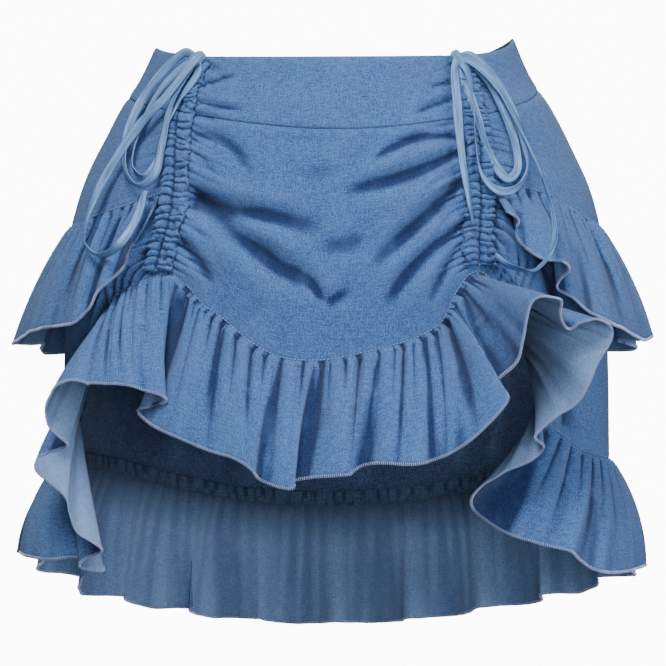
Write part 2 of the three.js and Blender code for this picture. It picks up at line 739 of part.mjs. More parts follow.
// Sewn edge of a ruffle: its point, the outward direction, and the way the cloth leaves the panel
function sewnEdge(turn, seam) {
  const z = seam(turn);
  const step = 0.25;
  const point = skin(turn, z);
  const before = skin(turn - step, seam(turn - step));
  const after = skin(turn + step, seam(turn + step));
  const normal = outward(turn, z);
  const along = after.sub(before).normalize();
  const leave = along.cross(normal).normalize();
  if (leave.z > 0) {
    leave.negate();
  }
  point.addScaledVector(leave, SEAM_GAP);
  return { point, normal, leave };
}

// Smooth value of a column at a place counted in rows
function rowValue(rows, place, column) {
  const i = Math.min(rows.length - 2, Math.floor(place));
  const t = place - i;
  const p0 = rows[Math.max(0, i - 1)][column];
  const p1 = rows[i][column];
  const p2 = rows[i + 1][column];
  const p3 = rows[Math.min(rows.length - 1, i + 2)][column];
  const a = 2 * p1 + (p2 - p0) * t;
  const b = (2 * p0 - 5 * p1 + 4 * p2 - p3) * t * t;
  const c = (3 * p1 - p0 - 3 * p2 + p3) * t * t * t;
  return (a + b + c) / 2;
}

// Places, counted in rows, that split the edge between two rows of a ruffle into even steps
function evenPlaces(rows, firstRow, lastRow, count) {
  const lengths = [0];
  for (let i = firstRow + 1; i <= lastRow; i += 1) {
    const a = rows[i - 1];
    const b = rows[i];
    const rim = Math.hypot(b.x - a.x, b.y - a.y, b.z - a.z);
    lengths.push(lengths[lengths.length - 1] + rim + SEAM_SHARE);
  }
  const places = [];
  for (let n = 0; n < count; n += 1) {
    const want = (lengths[lengths.length - 1] * n) / count;
    let i = 0;
    while (i < lengths.length - 2 && want > lengths[i + 1]) {
      i += 1;
    }
    places.push(firstRow + i + (want - lengths[i]) / (lengths[i + 1] - lengths[i]));
  }
  return places;
}

// One column of a ruffle: sewn edge, a short neck that stands out, then a bowed fall to the free edge
function ruffleColumn(rows, place, seam, steps, wave) {
  const rim = new THREE.Vector3(
    rowValue(rows, place, 'x'),
    rowValue(rows, place, 'y'),
    rowValue(rows, place, 'z'),
  );
  const { point, normal, leave } = sewnEdge(rowValue(rows, place, 'turn'), seam);
  const neck = point.clone().addScaledVector(normal, NECK_OUT).addScaledVector(leave, NECK_DOWN);
  const control = neck.clone().lerp(rim, BOW_AT).addScaledVector(normal, rowValue(rows, place, 'bow'));
  const column = [point];
  for (let j = 0; j <= steps; j += 1) {
    const t = (j / steps) ** FALL_SPACING;
    const p = neck.clone().multiplyScalar((1 - t) ** 2);
    p.addScaledVector(control, 2 * t * (1 - t)).addScaledVector(rim, t * t);
    p.addScaledVector(normal, wave * smooth(1 - t / GATHER_FADE));
    column.push(p);
  }
  return { column, normal };
}

// Ruffle through a list of rows, cut into its sewn lengths; each length has a name, its last row and its columns
function ruffle({ rows, lengths, seam, steps, ring }) {
  const grid = [];
  const sewn = [];
  const starts = [];
  let firstRow = 0;
  const push = (place) => {
    const wave = grid.length % 2 === 0 ? GATHER : -GATHER;
    const { column, normal } = ruffleColumn(rows, place, seam, steps, wave);
    grid.push(column);
    sewn.push(normal);
  };
  for (const { lastRow, columns } of lengths) {
    starts.push(grid.length);
    evenPlaces(rows, firstRow, lastRow, columns).forEach(push);
    firstRow = lastRow;
  }
  push(rows.length - 1);
  starts.push(grid.length - 1);
  const sides = bothSides(grid, CLOTH, sewn, ring);
  lengths.forEach(({ name }, n) => {
    const pick = (side) => trimEnds(side.slice(starts[n], starts[n + 1] + 1));
    add(name, solidBetween(pick(sides.outer), pick(sides.inner)), DENIM_LIGHT);
  });
}

// Draws the two end columns in, so that neighbouring lengths meet with a seam gap
function trimEnds(columns) {
  const last = columns.length - 1;
  const drawn = (from, to) => columns[from].map((p, j) => {
    const step = columns[to][j].clone().sub(p);
    return p.clone().addScaledVector(step.normalize(), JOIN_GAP / 2);
  });
  const first = drawn(0, 1);
  const end = drawn(last, last - 1);
  return [first, ...columns.slice(1, last), end];
}

// Rows for the waves round the back: regular, with a slow change of size from wave to wave
function backRows({ waves, depth, flare, seam, first, last }) {
  const rows = [first];
  const count = waves * POINTS_PER_WAVE;
  for (let n = 1; n < count; n += 1) {
    const s = n / count;
    const phase = (2 * Math.PI * n) / POINTS_PER_WAVE;
    const ends = smooth(s * END_CALM) * smooth((1 - s) * END_CALM);
    const size = ends * (1 + WAVE_CHANGE * Math.sin(n * CHANGE_PACE));
    const turn = mix(first.turn, last.turn, s);
    const z = seam(turn);
    const normal = outward(turn, z);
    const side = new THREE.Vector3(-normal.y, normal.x, 0);
    const point = skin(turn, z);
    point.addScaledVector(normal, flare + WAVE_OUT * size * Math.cos(phase));
    point.addScaledVector(side, WAVE_SIDE * size * Math.sin(phase));
    const end = s < 0.5 ? first : last;
    const settled = smooth(END_BLEND * Math.min(s, 1 - s));
    const drop = mix(seam(end.turn) - end.z, depth, settled) + WAVE_DROP * Math.cos(phase);
    const bow = BACK_BOW + BOW_CHANGE * Math.cos(phase);
    rows.push({ turn, x: point.x, y: point.y, z: z - drop, bow });
  }
  rows.push(last);
  return rows;
}

// The same rows, one full round further on
function roundAgain(rows) {
  return rows.map((row) => ({ ...row, turn: row.turn + 360 }));
}

function buildHemRuffle() {
  const left = [...HEM_LEFT_ROWS].reverse();
  const start = left[0];
  const right = HEM_RIGHT_ROWS;
  const back = backRows({
    waves: HEM_WAVES,
    depth: HEM_DEPTH,
    flare: HEM_FLARE,
    seam: hemSeam,
    first: right[right.length - 1],
    last: roundAgain([start])[0],
  });
  const rows = [...left, ...HEM_FRONT_ROWS.slice(1), ...right.slice(1), ...back.slice(1)];
  const frontFrom = left.length - 1;
  const rightFrom = frontFrom + HEM_FRONT_ROWS.length - 1;
  const backFrom = rightFrom + right.length - 1;
  const lengths = [
    { name: 'hem_ruffle_left', lastRow: frontFrom, columns: 50 },
    { name: 'hem_ruffle_front', lastRow: rightFrom, columns: 62 },
    { name: 'hem_ruffle_right', lastRow: backFrom, columns: 58 },
    { name: 'hem_ruffle_back', lastRow: rows.length - 1, columns: 66 },
  ];
  ruffle({ rows, lengths, seam: hemSeam, steps: 4, ring: true });
}

function buildUpperRuffle() {
  const right = UPPER_RIGHT_ROWS;
  const left = roundAgain([...UPPER_LEFT_ROWS].reverse());
  const back = backRows({
    waves: UPPER_WAVES,
    depth: UPPER_DEPTH,
    flare: UPPER_FLARE,
    seam: upperSeam,
    first: right[right.length - 1],
    last: left[0],
  });
  const rows = [...right, ...back.slice(1), ...left.slice(1)];
  const backFrom = right.length - 1;
  const leftFrom = backFrom + back.length - 1;
  const lengths = [
    { name: 'upper_ruffle_right', lastRow: backFrom, columns: 40 },
    { name: 'upper_ruffle_back', lastRow: leftFrom, columns: 60 },
    { name: 'upper_ruffle_left', lastRow: rows.length - 1, columns: 32 },
  ];
  ruffle({ rows, lengths, seam: upperSeam, steps: 3, ring: false });
}

// Puckered strip over the seam between front and side, in two channels with a stitched groove between
function casing({ name, column, bottom }) {
  const length = CASING_TOP - bottom;
  const puckers = Math.round(length / PUCKER_PITCH);
  const steps = puckers * 2;
  const across = [-1, -0.5, 0, 0.5, 1];
  const outer = [];
  const inner = [];
  for (let i = 0; i <= steps; i += 1) {
    const z = CASING_TOP - (length * i) / steps;
    const middle = read(CASINGS, 'down', -z, column);
    const bodyHalf = read(BODY, 'down', -z, 'half');
    const wave = i % 2 === 0 ? 0 : PUCKER;
    outer.push([]);
    inner.push([]);
    for (const side of across) {
      const turn = middle + (side * CASING_HALF * TURN_PER_SLOPE) / bodyHalf;
      const groove = side === 0 ? CENTRE_GROOVE : 0;
      const edge = Math.abs(side) === 1 ? EDGE_PUCKER : 1;
      const raise = Math.max(0, wave * edge - groove);
      outer[i].push(skin(turn, z, CASING_INNER + CASING_THIN + raise));
      inner[i].push(skin(turn, z, CASING_INNER));
    }
  }
  add(name, solidBetween(outer, inner), DENIM);
}

function buildCasings() {
  casing({ name: 'casing_left', column: 'left', bottom: -168 });
  casing({ name: 'casing_right', column: 'right', bottom: -164 });
}

// Turn of the body at a sideways place and height
function turnAt(x, z) {
  const half = read(BODY, 'down', -z, 'half');
  return (Math.asin(Math.max(-0.995, Math.min(0.995, x / half))) * 180) / Math.PI;
}

// Point a given distance off the body cloth, at a sideways place and height
function inFront(x, z, gap) {
  let across = x;
  let point = null;
  for (let k = 0; k < 5; k += 1) {
    point = skin(turnAt(across, z), z, gap);
    across += x - point.x;
  }
  return point;
}

// Flat ribbon along a smooth route, its face turned to the front
function ribbon({ name, route }) {
  const curve = new THREE.CatmullRomCurve3(route.map((row) => inFront(row.x, row.z, row.gap)));
  const steps = Math.round(curve.getLength() / RIBBON_STEP);
  const outer = [];
  const inner = [];
  for (let i = 0; i <= steps; i += 1) {
    const point = curve.getPointAt(i / steps);
    const along = curve.getTangentAt(i / steps);
    const across = along.clone().cross(outward(turnAt(point.x, point.z), point.z)).normalize();
    const face = across.clone().cross(along).normalize();
    const corner = (side, level) => point
      .clone()
      .addScaledVector(across, (side * RIBBON_WIDTH) / 2)
      .addScaledVector(face, (level * RIBBON_THICK) / 2);
    outer.push([corner(-1, 1), corner(1, 1)]);
    inner.push([corner(-1, -1), corner(1, -1)]);
  }
  add(name, solidBetween(outer, inner), SATIN);
}

function buildRibbons() {
  for (const { side, x, z } of KNOTS) {
    const knot = new THREE.SphereGeometry(1, 12, 8);
    knot.scale(...KNOT_HALF);
    const centre = inFront(x, z, KNOT_GAP);
    knot.translate(centre.x, centre.y, centre.z);
    add(`knot_${side}`, knot, SATIN);
  }
  RIBBONS.forEach(ribbon);
}

buildBands();
buildPanels();
buildCasings();
buildUpperRuffle();
buildHemRuffle();
buildRibbons();

export default skirt;
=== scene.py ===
"""Bustle skirt in blue chambray: the cloth, sewing and ribbons over its CAD frame, laid out as an add-on."""

import math

import bmesh
import bpy
import numpy as np
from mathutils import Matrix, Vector


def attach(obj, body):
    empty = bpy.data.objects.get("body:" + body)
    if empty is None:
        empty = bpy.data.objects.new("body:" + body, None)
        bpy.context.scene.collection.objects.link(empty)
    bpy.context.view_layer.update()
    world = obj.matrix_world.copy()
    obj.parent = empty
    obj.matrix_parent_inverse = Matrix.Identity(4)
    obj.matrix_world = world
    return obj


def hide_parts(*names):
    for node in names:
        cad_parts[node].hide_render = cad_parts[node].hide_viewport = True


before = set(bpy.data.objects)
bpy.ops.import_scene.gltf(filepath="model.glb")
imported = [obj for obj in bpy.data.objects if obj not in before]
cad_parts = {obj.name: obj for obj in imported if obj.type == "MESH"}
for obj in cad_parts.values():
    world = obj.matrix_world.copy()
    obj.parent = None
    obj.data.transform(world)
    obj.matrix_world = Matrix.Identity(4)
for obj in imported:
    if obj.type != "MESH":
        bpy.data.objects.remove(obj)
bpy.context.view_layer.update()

bl_info = {
    "name": "Bustle Skirt",
    "version": (1, 0, 0),
    "blender": (4, 5, 0),
    "location": "3D View > Sidebar > Skirt",
    "description": "Dresses the bustle skirt's frame in chambray, gathers, stitching and satin ribbon",
    "category": "Object",
}

# Tables are in millimetres and degrees, and the scene is in metres.
# A turn is an angle round the body: 0 is the front, +90 the +X side, 180 the back.
MM = 0.001
MIDDLE_HEIGHT = -100.0
SIDE = 90.0
HALF_GAP = 0.08
SEAM_GAP = 1.0
JOIN_GAP = 0.4
LINE_GAP = 0.5


def table(names, rows):
    """A short table as named columns."""
    values = np.array(rows, float)
    return {name: values[:, i] for i, name in enumerate(names.split())}


BODY = table("down half front back", [
    (-12, 128, 90, 89),
    (0, 132, 92, 92),
    (26, 143.5, 98, 100),
    (46, 157, 103, 107),
    (67, 168, 107, 113),
    (98, 183, 112, 123),
    (118, 190, 114, 128),
    (142, 195, 115.5, 133),
    (226, 200, 116, 140),
    (350, 202, 114, 143),
])

WAIST = table("turn top bottom", [
    (-180, -12, -57),
    (-135, -8, -49),
    (-90, -2, -39),
    (-60, -10, -48),
    (-40, -15, -57),
    (0, -17, -69),
    (40, -14, -57),
    (60, -8, -46),
    (90, 5, -33),
    (135, -5, -46),
    (180, -12, -57),
])

UPPER_SEAM = table("turn z", [
    (-180, -150),
    (-140, -148),
    (-90, -136),
    (-70, -131),
    (-55, -124),
    (-46, -118),
    (-37, -112),
    (32, -111),
    (45, -110),
    (53, -114),
    (68, -129),
    (90, -136),
    (140, -148),
    (180, -150),
])

# Hem seam: low at the back, a shallow U in front, pulled up to a cusp at each casing
HEM_SEAM = table("turn z", [
    (-180, -343),
    (-165, -341),
    (-150, -333),
    (-135, -322),
    (-120, -312),
    (-105, -308),
    (-90, -306),
    (-78, -297),
    (-70, -282),
    (-65, -262),
    (-60, -230),
    (-56, -202),
    (-52, -187),
    (-48, -181),
    (-42, -175),
    (-36, -172),
    (-32, -180),
    (-28, -193),
    (-23, -204),
    (-17, -220),
    (-11, -230),
    (-3, -232),
    (5, -227),
    (11, -222),
    (17, -215),
    (22, -204),
    (24.5, -188),
    (27, -176),
    (29, -171),
    (31, -170),
    (33, -174),
    (36, -184),
    (40, -207),
    (43, -230),
    (46, -255),
    (49, -277),
    (55, -288),
    (62, -298),
    (75, -303),
    (90, -306),
    (105, -307),
    (120, -309),
    (135, -320),
    (150, -331),
    (165, -340),
    (180, -343),
])

# Middle line of each casing
CASINGS = table("down left right", [
    (12, -45, 40),
    (31, -44, 38),
    (55, -42.5, 36),
    (76, -40.5, 35.3),
    (98, -38, 33.4),
    (118, -37, 32),
    (140, -37.4, 30.8),
    (157, -39, 30.6),
    (180, -40.4, 30.6),
])
CASING_HALF = 11.5
CASING_TOP = -19.0
CASING_FOOT = {"left": -168.0, "right": -164.0}
CASING_LIFT = 1.9
TURN_PER_SLOPE = 60.0

# Bunched cloth beside the foot of each casing: it stands out as far as this edge, then drops back
FLAPS = table("down left right", [
    (118, -38, 33),
    (132, -40, 35.6),
    (147, -42.5, 40),
    (157, -46.7, 42),
    (169, -50.5, 44),
    (185, -54.5, 46),
    (240, -62, 49),
])
FLAP_OUT = 11.0
FLAP_DROP = 5.0
FLAP_TOP = -116.0
FLAP_RISE = 30.0
FLAP_FADE = 22.0
FLAP_CLEAR = 4.0
FLAP_START = 3.5

# Puckers that curl round the foot of each casing: centre, and how far apart they are
SWIRLS = table("x z", [
    (-119.5, -185.5),
    (95, -161),
])
SWIRL_PITCH = 5.6
SWIRL_DEEP = 7.0

# Puckers out of the casings: distance apart, reach and depth at least and at most, and slant in and out
PUCKER_PITCH = 5.2
PUCKER_REACH = (4.0, 21.0)
PUCKER_DEEP = (1.2, 4.4)
PUCKER_SLANT = (0.42, 0.2)
PUCKER_LEVEL = 0.7

# How far the puckers outside each casing run, next to those inside it
OUTER_REACH = {"left": 0.8, "right": 1.5}

# The casing itself: height of its puffs, how they are pinched, and half width of its stitched groove
PUFF_HIGH = (1.4, 5.2)
PUFF_PINCH = (0.55, 1.0)
PUFF_BEND = 1.3
FINE_PITCH = 2.9
GROOVE_HALF = 0.07

# Uneven body cloth: dents all over, and drape beyond a turn at the sides and back
DENTS = (0.3, 0.2)
DRAPE = (1.5, 0.7)
DRAPE_FROM = 84
DRAPE_EASE = 14

# Drape folds and creases of the front, each a curve through three points
FRONT_FOLDS = table("x0 z0 x1 z1 x2 z2 deep wide", [
    (-110, -110, -66, -127, 5, -139, 11, 9.5),
    (-99, -121, -60, -150, -10, -190, 12, 10),
    (-112, -147, -98, -161, -80, -183, 6.5, 5.5),
    (-101, -73, -74, -80, -57, -108, 2.8, 6.5),
    (-104, -56, -92, -59, -80, -66, 3.4, 3.4),
    (84, -74, 50, -78, 20, -96, 5.5, 5),
    (85, -87, 42, -104, -8, -114, 8, 7.5),
    (88, -108, 58, -136, 18, -170, 12, 9),
    (90, -138, 58, -161, 30, -201, 9, 7.5),
    (89, -149, 76, -168, 62, -194, 6, 4.6),
    (-106, -37, -92, -35, -66, -29, 3.6, 2.8),
    (-104, -46, -84, -51, -54, -55, 3.2, 3),
    (-98, -88, -88, -96, -74, -106, 1.8, 4.2),
    (84, -45, 68, -51, 50, -58, 3.6, 3),
    (90, -32, 76, -36, 60, -38, 2.6, 2.6),
    (88, -62, 74, -66, 56, -66, 3, 3),
    (88, -97, 74, -103, 56, -116, 3.4, 3.2),
    (90, -122, 79, -131, 64, -149, 3.6, 3.2),
    (-104, -98, -90, -106, -70, -114, 1.8, 4.2),
    (-110, -131, -98, -139, -84, -150, 3.6, 3.4),
    (-24, -168, -14, -181, -9, -193, 4, 5),
    (14, -180, 0, -187, -9, -194, 3, 6),
    (-40, -160, -24, -172, -10, -191, 3, 9),
    (30, -141, 6, -150, -20, -152, 2.6, 9),
    (-60, -66, -20, -74, 10, -72, 2.2, 11),
    (-50, -92, -10, -98, 30, -90, 1.8, 10),
])
RIDGE = 0.45
FOLD_END = 2.2
FREE_FOLD = 70.0
FOLD_CLEAR = 1.5
FOLD_START = 4.0
FOLD_REACH = 80.0

# Hem ruffle, one row for each turn of its edge: seam turn, edge point, and how far the cloth bows out
RUFFLE_COLUMNS = "turn x y z bow"
HEM_FRONT = table(RUFFLE_COLUMNS, [
    (-53, -173, -126, -246, 12),
    (-48, -148, -131, -248, 12),
    (-42, -129, -131, -253, 10),
    (-37.5, -117, -127, -259, 6),
    (-34.5, -128, -116, -264, -2),
    (-32.5, -139, -110, -267, -6),
    (-30.5, -131, -121, -275, -1),
    (-28.5, -119, -132, -281, 6),
    (-25.5, -104, -138, -287, 9),
    (-21.5, -87, -142, -294, 6),
    (-18, -70, -147, -299, 10),
    (-14.5, -57, -152, -307, 7),
    (-11.5, -53, -147, -313, 5),
    (-8.5, -40, -153, -318, 9),
    (-6, -29, -153, -319, 8),
    (-4, -26, -145, -313, 4),
    (0, -2, -150, -311, 9),
    (4, 10, -152, -309, 7),
    (8, 20, -145, -303, 4),
    (12, 36, -151, -302, 9),
    (15.5, 54, -153, -303, 7),
    (18, 66, -149, -300, 5),
    (20.5, 79, -151, -294, 10),
    (22, 97, -151, -282, 10),
    (23.2, 118, -150, -259, 9),
    (24.6, 111, -142, -246, 5),
    (26, 125, -154, -231, 9),
    (28, 131, -164, -205, 11),
    (29.3, 134, -170, -190, 12),
])
HEM_RIGHT = table(RUFFLE_COLUMNS, [
    (29.3, 134, -170, -190, 12),
    (30.6, 144, -167, -187, 12),
    (31.7, 154, -157, -190, 9),
    (32.5, 156, -142, -200, 3),
    (33.3, 162, -131, -209, 2),
    (34.1, 170, -134, -205, 8),
    (34.9, 182, -129, -202, 10),
    (35.7, 192, -118, -208, 10),
    (36.8, 192, -115, -218, 10),
    (38.2, 182, -120, -234, 9),
    (39.5, 176, -124, -248, 9),
    (40.8, 168, -126, -260, 8),
    (42.2, 152, -128, -271, 8),
    (43.4, 138, -126, -284, 6),
    (44.4, 144, -115, -292, 3),
    (45.2, 136, -117, -301, 5),
    (46.2, 118, -119, -308, 6),
    (47.2, 103, -117, -317, 4),
    (48.2, 95, -107, -329, -2),
    (49.4, 100, -98, -340, -5),
    (51.5, 119, -98, -353, 3),
    (54.5, 137, -99, -359, 7),
    (58, 151, -98, -363, 4),
    (62, 166, -97, -367, 9),
    (65.5, 174, -86, -375, 5),
    (70, 188, -77, -382, 9),
    (76, 206, -56, -384, 8),
    (84, 222, -29, -383, 12),
    (92, 230, 2, -383, 14),
])
HEM_LEFT = table(RUFFLE_COLUMNS, [
    (-53, -173, -126, -246, 12),
    (-54.5, -188, -122, -245, 12),
    (-55.6, -199, -113, -252, 10),
    (-56.5, -205, -104, -264, 11),
    (-57.4, -204, -99, -276, 9),
    (-58.4, -197, -93, -285, 5),
    (-59.4, -191, -84, -292, 0),
    (-60.4, -201, -76, -297, 6),
    (-61.4, -213, -72, -302, 11),
    (-62.4, -214, -74, -310, 11),
    (-63.2, -204, -82, -318, 8),
    (-64, -192, -87, -328, 6),
    (-64.8, -188, -86, -340, 6),
    (-65.6, -184, -84, -352, 5),
    (-66.5, -174, -79, -360, 4),
    (-67.5, -166, -70, -368, 0),
    (-68.6, -180, -63, -375, 2),
    (-69.6, -182, -60, -381, 3),
    (-70.6, -168, -60, -383, 0),
    (-72, -170, -50, -379, -2),
    (-74.5, -187, -50, -374, 5),
    (-78.5, -207, -41, -376, 9),
    (-84, -225, -20, -375, 12),
    (-92, -235, 6, -374, 14),
])
UPPER_RIGHT = table(RUFFLE_COLUMNS, [
    (36.8, 121, -113, -127, 3),
    (37.8, 128, -113, -133, 4),
    (39, 126, -104, -140, 2),
    (40.4, 130, -110, -150, 5),
    (42.4, 137, -117, -157, 7),
    (44.6, 146, -120, -162, 8),
    (47, 157, -119, -163, 7),
    (48.8, 163, -112, -168, 5),
    (50.2, 157, -105, -176, 2),
    (51.8, 157, -102, -182, 2),
    (54, 167, -102, -188, 6),
    (58, 180, -92, -197, 5),
    (62, 196, -77, -206, 8),
    (67, 206, -62, -209, 6),
    (73, 217, -45, -215, 8),
    (80, 225, -25, -218, 6),
    (88, 233, 1, -214, 9),
    (94, 232, 20, -216, 8),
])
UPPER_LEFT = table(RUFFLE_COLUMNS, [
    (-42, -143, -96, -150, 3),
    (-43.6, -150, -97, -162, 5),
    (-46, -157, -92, -173, 3),
    (-49.5, -167, -92, -183, 7),
    (-53, -174, -83, -194, 4),
    (-57.5, -185, -82, -205, 7),
    (-62, -194, -72, -207, 4),
    (-67, -204, -60, -208, 6),
    (-72.5, -217, -43, -211, 7),
    (-80, -229, -20, -216, 7),
    (-88, -239, 1, -220, 8),
    (-94, -237, 20, -220, 8),
])

# Back half of each ruffle: waves, depth, stand-off and wave size, easing in from its end rows
BACK_WAVES = {
    "hem": {"waves": 11, "depth": 99.0, "flare": 26.0},
    "upper": {"waves": 10, "depth": 86.0, "flare": 36.0},
}
POINTS_PER_WAVE = 4
WAVE_OUT = 11.0
WAVE_SIDE = 5.0
WAVE_DROP = 2.0
WAVE_CHANGE = 0.3
CHANGE_PACE = 0.7
BACK_BOW = 9.0
BOW_CHANGE = 3.0
END_CALM = 12.0
END_BLEND = 5.0

# Ruffle fall: neck beside the seam, where its bow acts, and how its points crowd to the seam
NECK_OUT = 3.2
NECK_DOWN = 2.0
BOW_AT = 0.45
FALL_SPACING = 1.4
TUCK = 2.2
SHOULDER_AT = 0.62
SHOULDER_OUT = 0.7

# Gathers: those near the seam and the bold ones that run on, each with its reach and depth
SMALL_REACH = (9.0, 38.0)
SMALL_DEEP = (1.1, 3.0)
BOLD_PITCH = 2.9
BOLD_REACH = (0.5, 1.25)
BOLD_DEEP = (1.8, 5.6)

# How far a free edge wanders: quickly, and slowly at the front and at the back
EDGE_QUICK = 0.9
EDGE_SLOW = (1.6, 5.0)

# Panels go up behind the piece above them by this much, and this far in
TUCK_UP = 4.0
TUCK_IN = 1.5
TUCK_EDGE = 0.6
SIDE_TUCK = 1.6
SIDE_IN = 1.0

# Long creases of the hem ruffle: seam turn, depth outwards, half width at the seam, and length
HEM_CREASES = table("turn deep wide long", [
    (-31.6, -7, 8.5, 100),
    (-29.0, -4, 2.6, 44),
    (-26.6, -3.6, 1.8, 26),
    (-25.2, -5, 2.2, 44),
    (-22.9, -7, 4.2, 130),
    (-19.6, -4.6, 2.4, 60),
    (-16.2, -6, 3.2, 110),
    (-13.7, -3.6, 2.2, 40),
    (-10.9, -5.4, 2.4, 80),
    (-6.4, -5, 2.2, 80),
    (-2.9, -7, 4.6, 140),
    (1.4, -3.4, 1.8, 36),
    (4.3, -7.5, 3.6, 140),
    (8.4, -4, 2.0, 44),
    (13.2, -7.5, 2.8, 150),
    (17, -4.4, 2.2, 44),
    (19.4, -5, 2.4, 60),
    (22, -7.5, 2.6, 130),
    (25.2, -4.6, 2.8, 48),
    (27.5, -4.2, 2.6, 40),
    (205, 6.5, 3.0, 100),
    (201, -3.0, 2.6, 70),
    (187, 3.0, 4.0, 60),
    (152, 3.4, 4.0, 70),
])

UPPER_CREASES = table("turn deep wide long", [
    (38.5, -3, 2.0, 26),
    (42.5, -4, 2.4, 34),
    (46, -3.4, 2.2, 26),
    (50, -5, 3.0, 44),
    (54, -3.4, 2.2, 24),
    (58, -4, 2.4, 34),
    (63, -4, 2.6, 40),
    (69, -7, 4.4, 110),
    (75, -4, 2.6, 34),
    (82, -4.6, 3.0, 60),
    (281, -5, 3.2, 60),
    (288, -4, 2.6, 36),
    (296, -7, 4.6, 80),
    (300, -3.6, 2.2, 26),
    (303, -4.4, 2.4, 34),
    (307, -7, 4.2, 100),
    (310.5, -4, 2.2, 30),
    (313.5, -4, 2.2, 30),
    (316, -7, 4.2, 90),
])

# Ribbon routes: sideways place, height, distance in front of the body, and how far the ribbon is turned
KNOTS = {"left": (-99.0, -17.0), "right": (86.0, -18.0)}
KNOT_GAP = 7.6
KNOT_HALF = (6.6, 2.6, 3.8)
KNOT_LEAN = {"left": 38.0, "right": 62.0}
KNOT_SINK = 0.6
KNOT_GRID = (73, 40)
CUP_CHANGE = 1.1
RIBBON_STEP = 1.6
RIBBON_POINTS = 9
ROUTE_COLUMNS = "x z gap twist"
RIBBONS = {
    "ribbon_left_tail_long": table(ROUTE_COLUMNS, [
        (-104, -23, 11.5, 0),
        (-121, -44, 11, 12),
        (-141, -65, 11, 30),
        (-156, -86, 11, 40),
        (-169, -108, 11, 24),
        (-178, -132, 16, -6),
        (-178, -148, 20, -40),
        (-167, -157, 22, -62),
        (-152, -150, 22, -40),
        (-141, -132, 16, -10),
        (-135, -112, 10, 16),
    ]),
    "ribbon_left_loop_outer": table(ROUTE_COLUMNS, [
        (-107, -12, 8.8, 0),
        (-119, -20, 8.6, 20),
        (-131, -33, 8.6, 40),
        (-144, -54, 8.6, 30),
        (-151, -76, 8.6, 10),
        (-149, -98, 8.6, -28),
        (-139, -108, 8.6, -58),
        (-128, -100, 8.6, -46),
        (-123, -78, 8.6, -12),
        (-117, -50, 8.6, 24),
        (-104, -26, 8.6, 30),
    ]),
    "ribbon_left_loop_inner": table(ROUTE_COLUMNS, [
        (-98, -27, 6.4, 0),
        (-111, -46, 6.4, -24),
        (-122, -70, 6.4, -44),
        (-128, -92, 6.2, -20),
        (-136, -102, 5.5, 30),
        (-144, -95, 5.5, 50),
        (-143, -76, 5.5, 36),
        (-134, -52, 5.5, 10),
        (-121, -33, 6, -10),
        (-107, -21, 6.2, 0),
    ]),
    "ribbon_right_tail_short": table(ROUTE_COLUMNS, [
        (84, -25, 8.2, 0),
        (85, -50, 10.8, -14),
        (87, -78, 10.8, -6),
        (91, -108, 10.8, 26),
        (96, -136, 10.8, 55),
    ]),
    "ribbon_right_loop_outer": table(ROUTE_COLUMNS, [
        (92, -25, 8.6, 10),
        (97, -52, 8.6, 58),
        (98, -80, 8.6, 74),
        (103, -102, 9, 40),
        (114, -112, 10.5, 8),
        (127, -110, 10.5, -28),
        (135, -96, 9, -40),
        (133, -76, 8.6, -8),
        (124, -51, 8.6, 22),
        (111, -28, 8.6, 14),
        (95, -15, 8.6, 0),
    ]),
    "ribbon_right_loop_inner": table(ROUTE_COLUMNS, [
        (89, -28, 6.4, 0),
        (99, -58, 6.4, -50),
        (105, -78, 6.4, -66),
        (113, -95, 6, -30),
        (121, -103, 5.5, 6),
        (128, -97, 5.5, 40),
        (127, -78, 5.5, 62),
        (119, -54, 5.5, 34),
        (108, -33, 6, -6),
        (95, -20, 6.4, 0),
    ]),
    "ribbon_right_tail_long": table(ROUTE_COLUMNS, [
        (93.6, -18, 10.1, 0),
        (113, -35, 12.6, 10),
        (127, -60, 12.6, 22),
        (140, -88, 12.6, 40),
        (149, -114, 20, 60),
        (152, -140, 36, 70),
        (147, -158, 44, 78),
        (134, -168, 34, 82),
        (121, -165, 20, 84),
        (112, -158, 9, 84),
    ]),
}

# Painted shade on a reverse side: how much colour it loses at its sewn edge, and how far along the cloth it
# takes to come back
DEEP_SHADE = 0.95
DEEP_REACH = 0.042
TRUMPET_REACH = 0.094

# Heights at which a narrow crease and a broad fold are fully worn or fully shaded
NARROW_RELIEF = 0.36
BROAD_RELIEF = 1.9
WAVE_RELIEF = 7.0
NARROW_SHARE = 0.75
BROAD_SHARE = 0.8

# Painted shade: how much darker than level cloth the gathered pieces are painted as a whole
RUFFLE_PAINTED_SHADE = -0.46
CASING_PAINTED_SHADE = -0.32

# The floor looks near white to the camera, yet throws little light up into the skirt
FLOOR_GLOW = 13.0
FLOOR_RADIUS = 9.0
FLOOR_HEIGHT = -0.86
FLOOR_SIDES = 48

# The world lights the skirt faintly, and is white to the camera
WORLD_LIGHT = 0.09
WORLD_SEEN = 12.0

# Soft square lights: place, the point each faces, size, power and colour
LIGHTS = {
    "key": ((-0.5, -1.6, 1.7), (0.0, 0.0, -0.2), 1.0, 74, (1.0, 0.99, 0.97)),
    "front": ((0.2, -2.6, -0.2), (0.0, 0.0, -0.35), 0.5, 16, (1.0, 1.0, 1.0)),
    "fill": ((1.7, -2.1, 0.35), (0.0, 0.0, -0.3), 1.0, 32, (0.97, 0.98, 1.0)),
    "side": ((2.4, -0.9, -0.2), (0.15, 0.0, -0.4), 0.8, 11, (1.0, 1.0, 1.0)),
    "back": ((0.4, 2.2, 0.9), (0.0, 0.0, -0.2), 1.2, 42, (1.0, 1.0, 1.0)),
}

# Camera: level, in front of the skirt, worked out from the photo's perspective
CAMERA_AT = (-2.2, -2200.0, -212.0)
VIEW_WIDTH = 490.2
SENSOR = 36.0

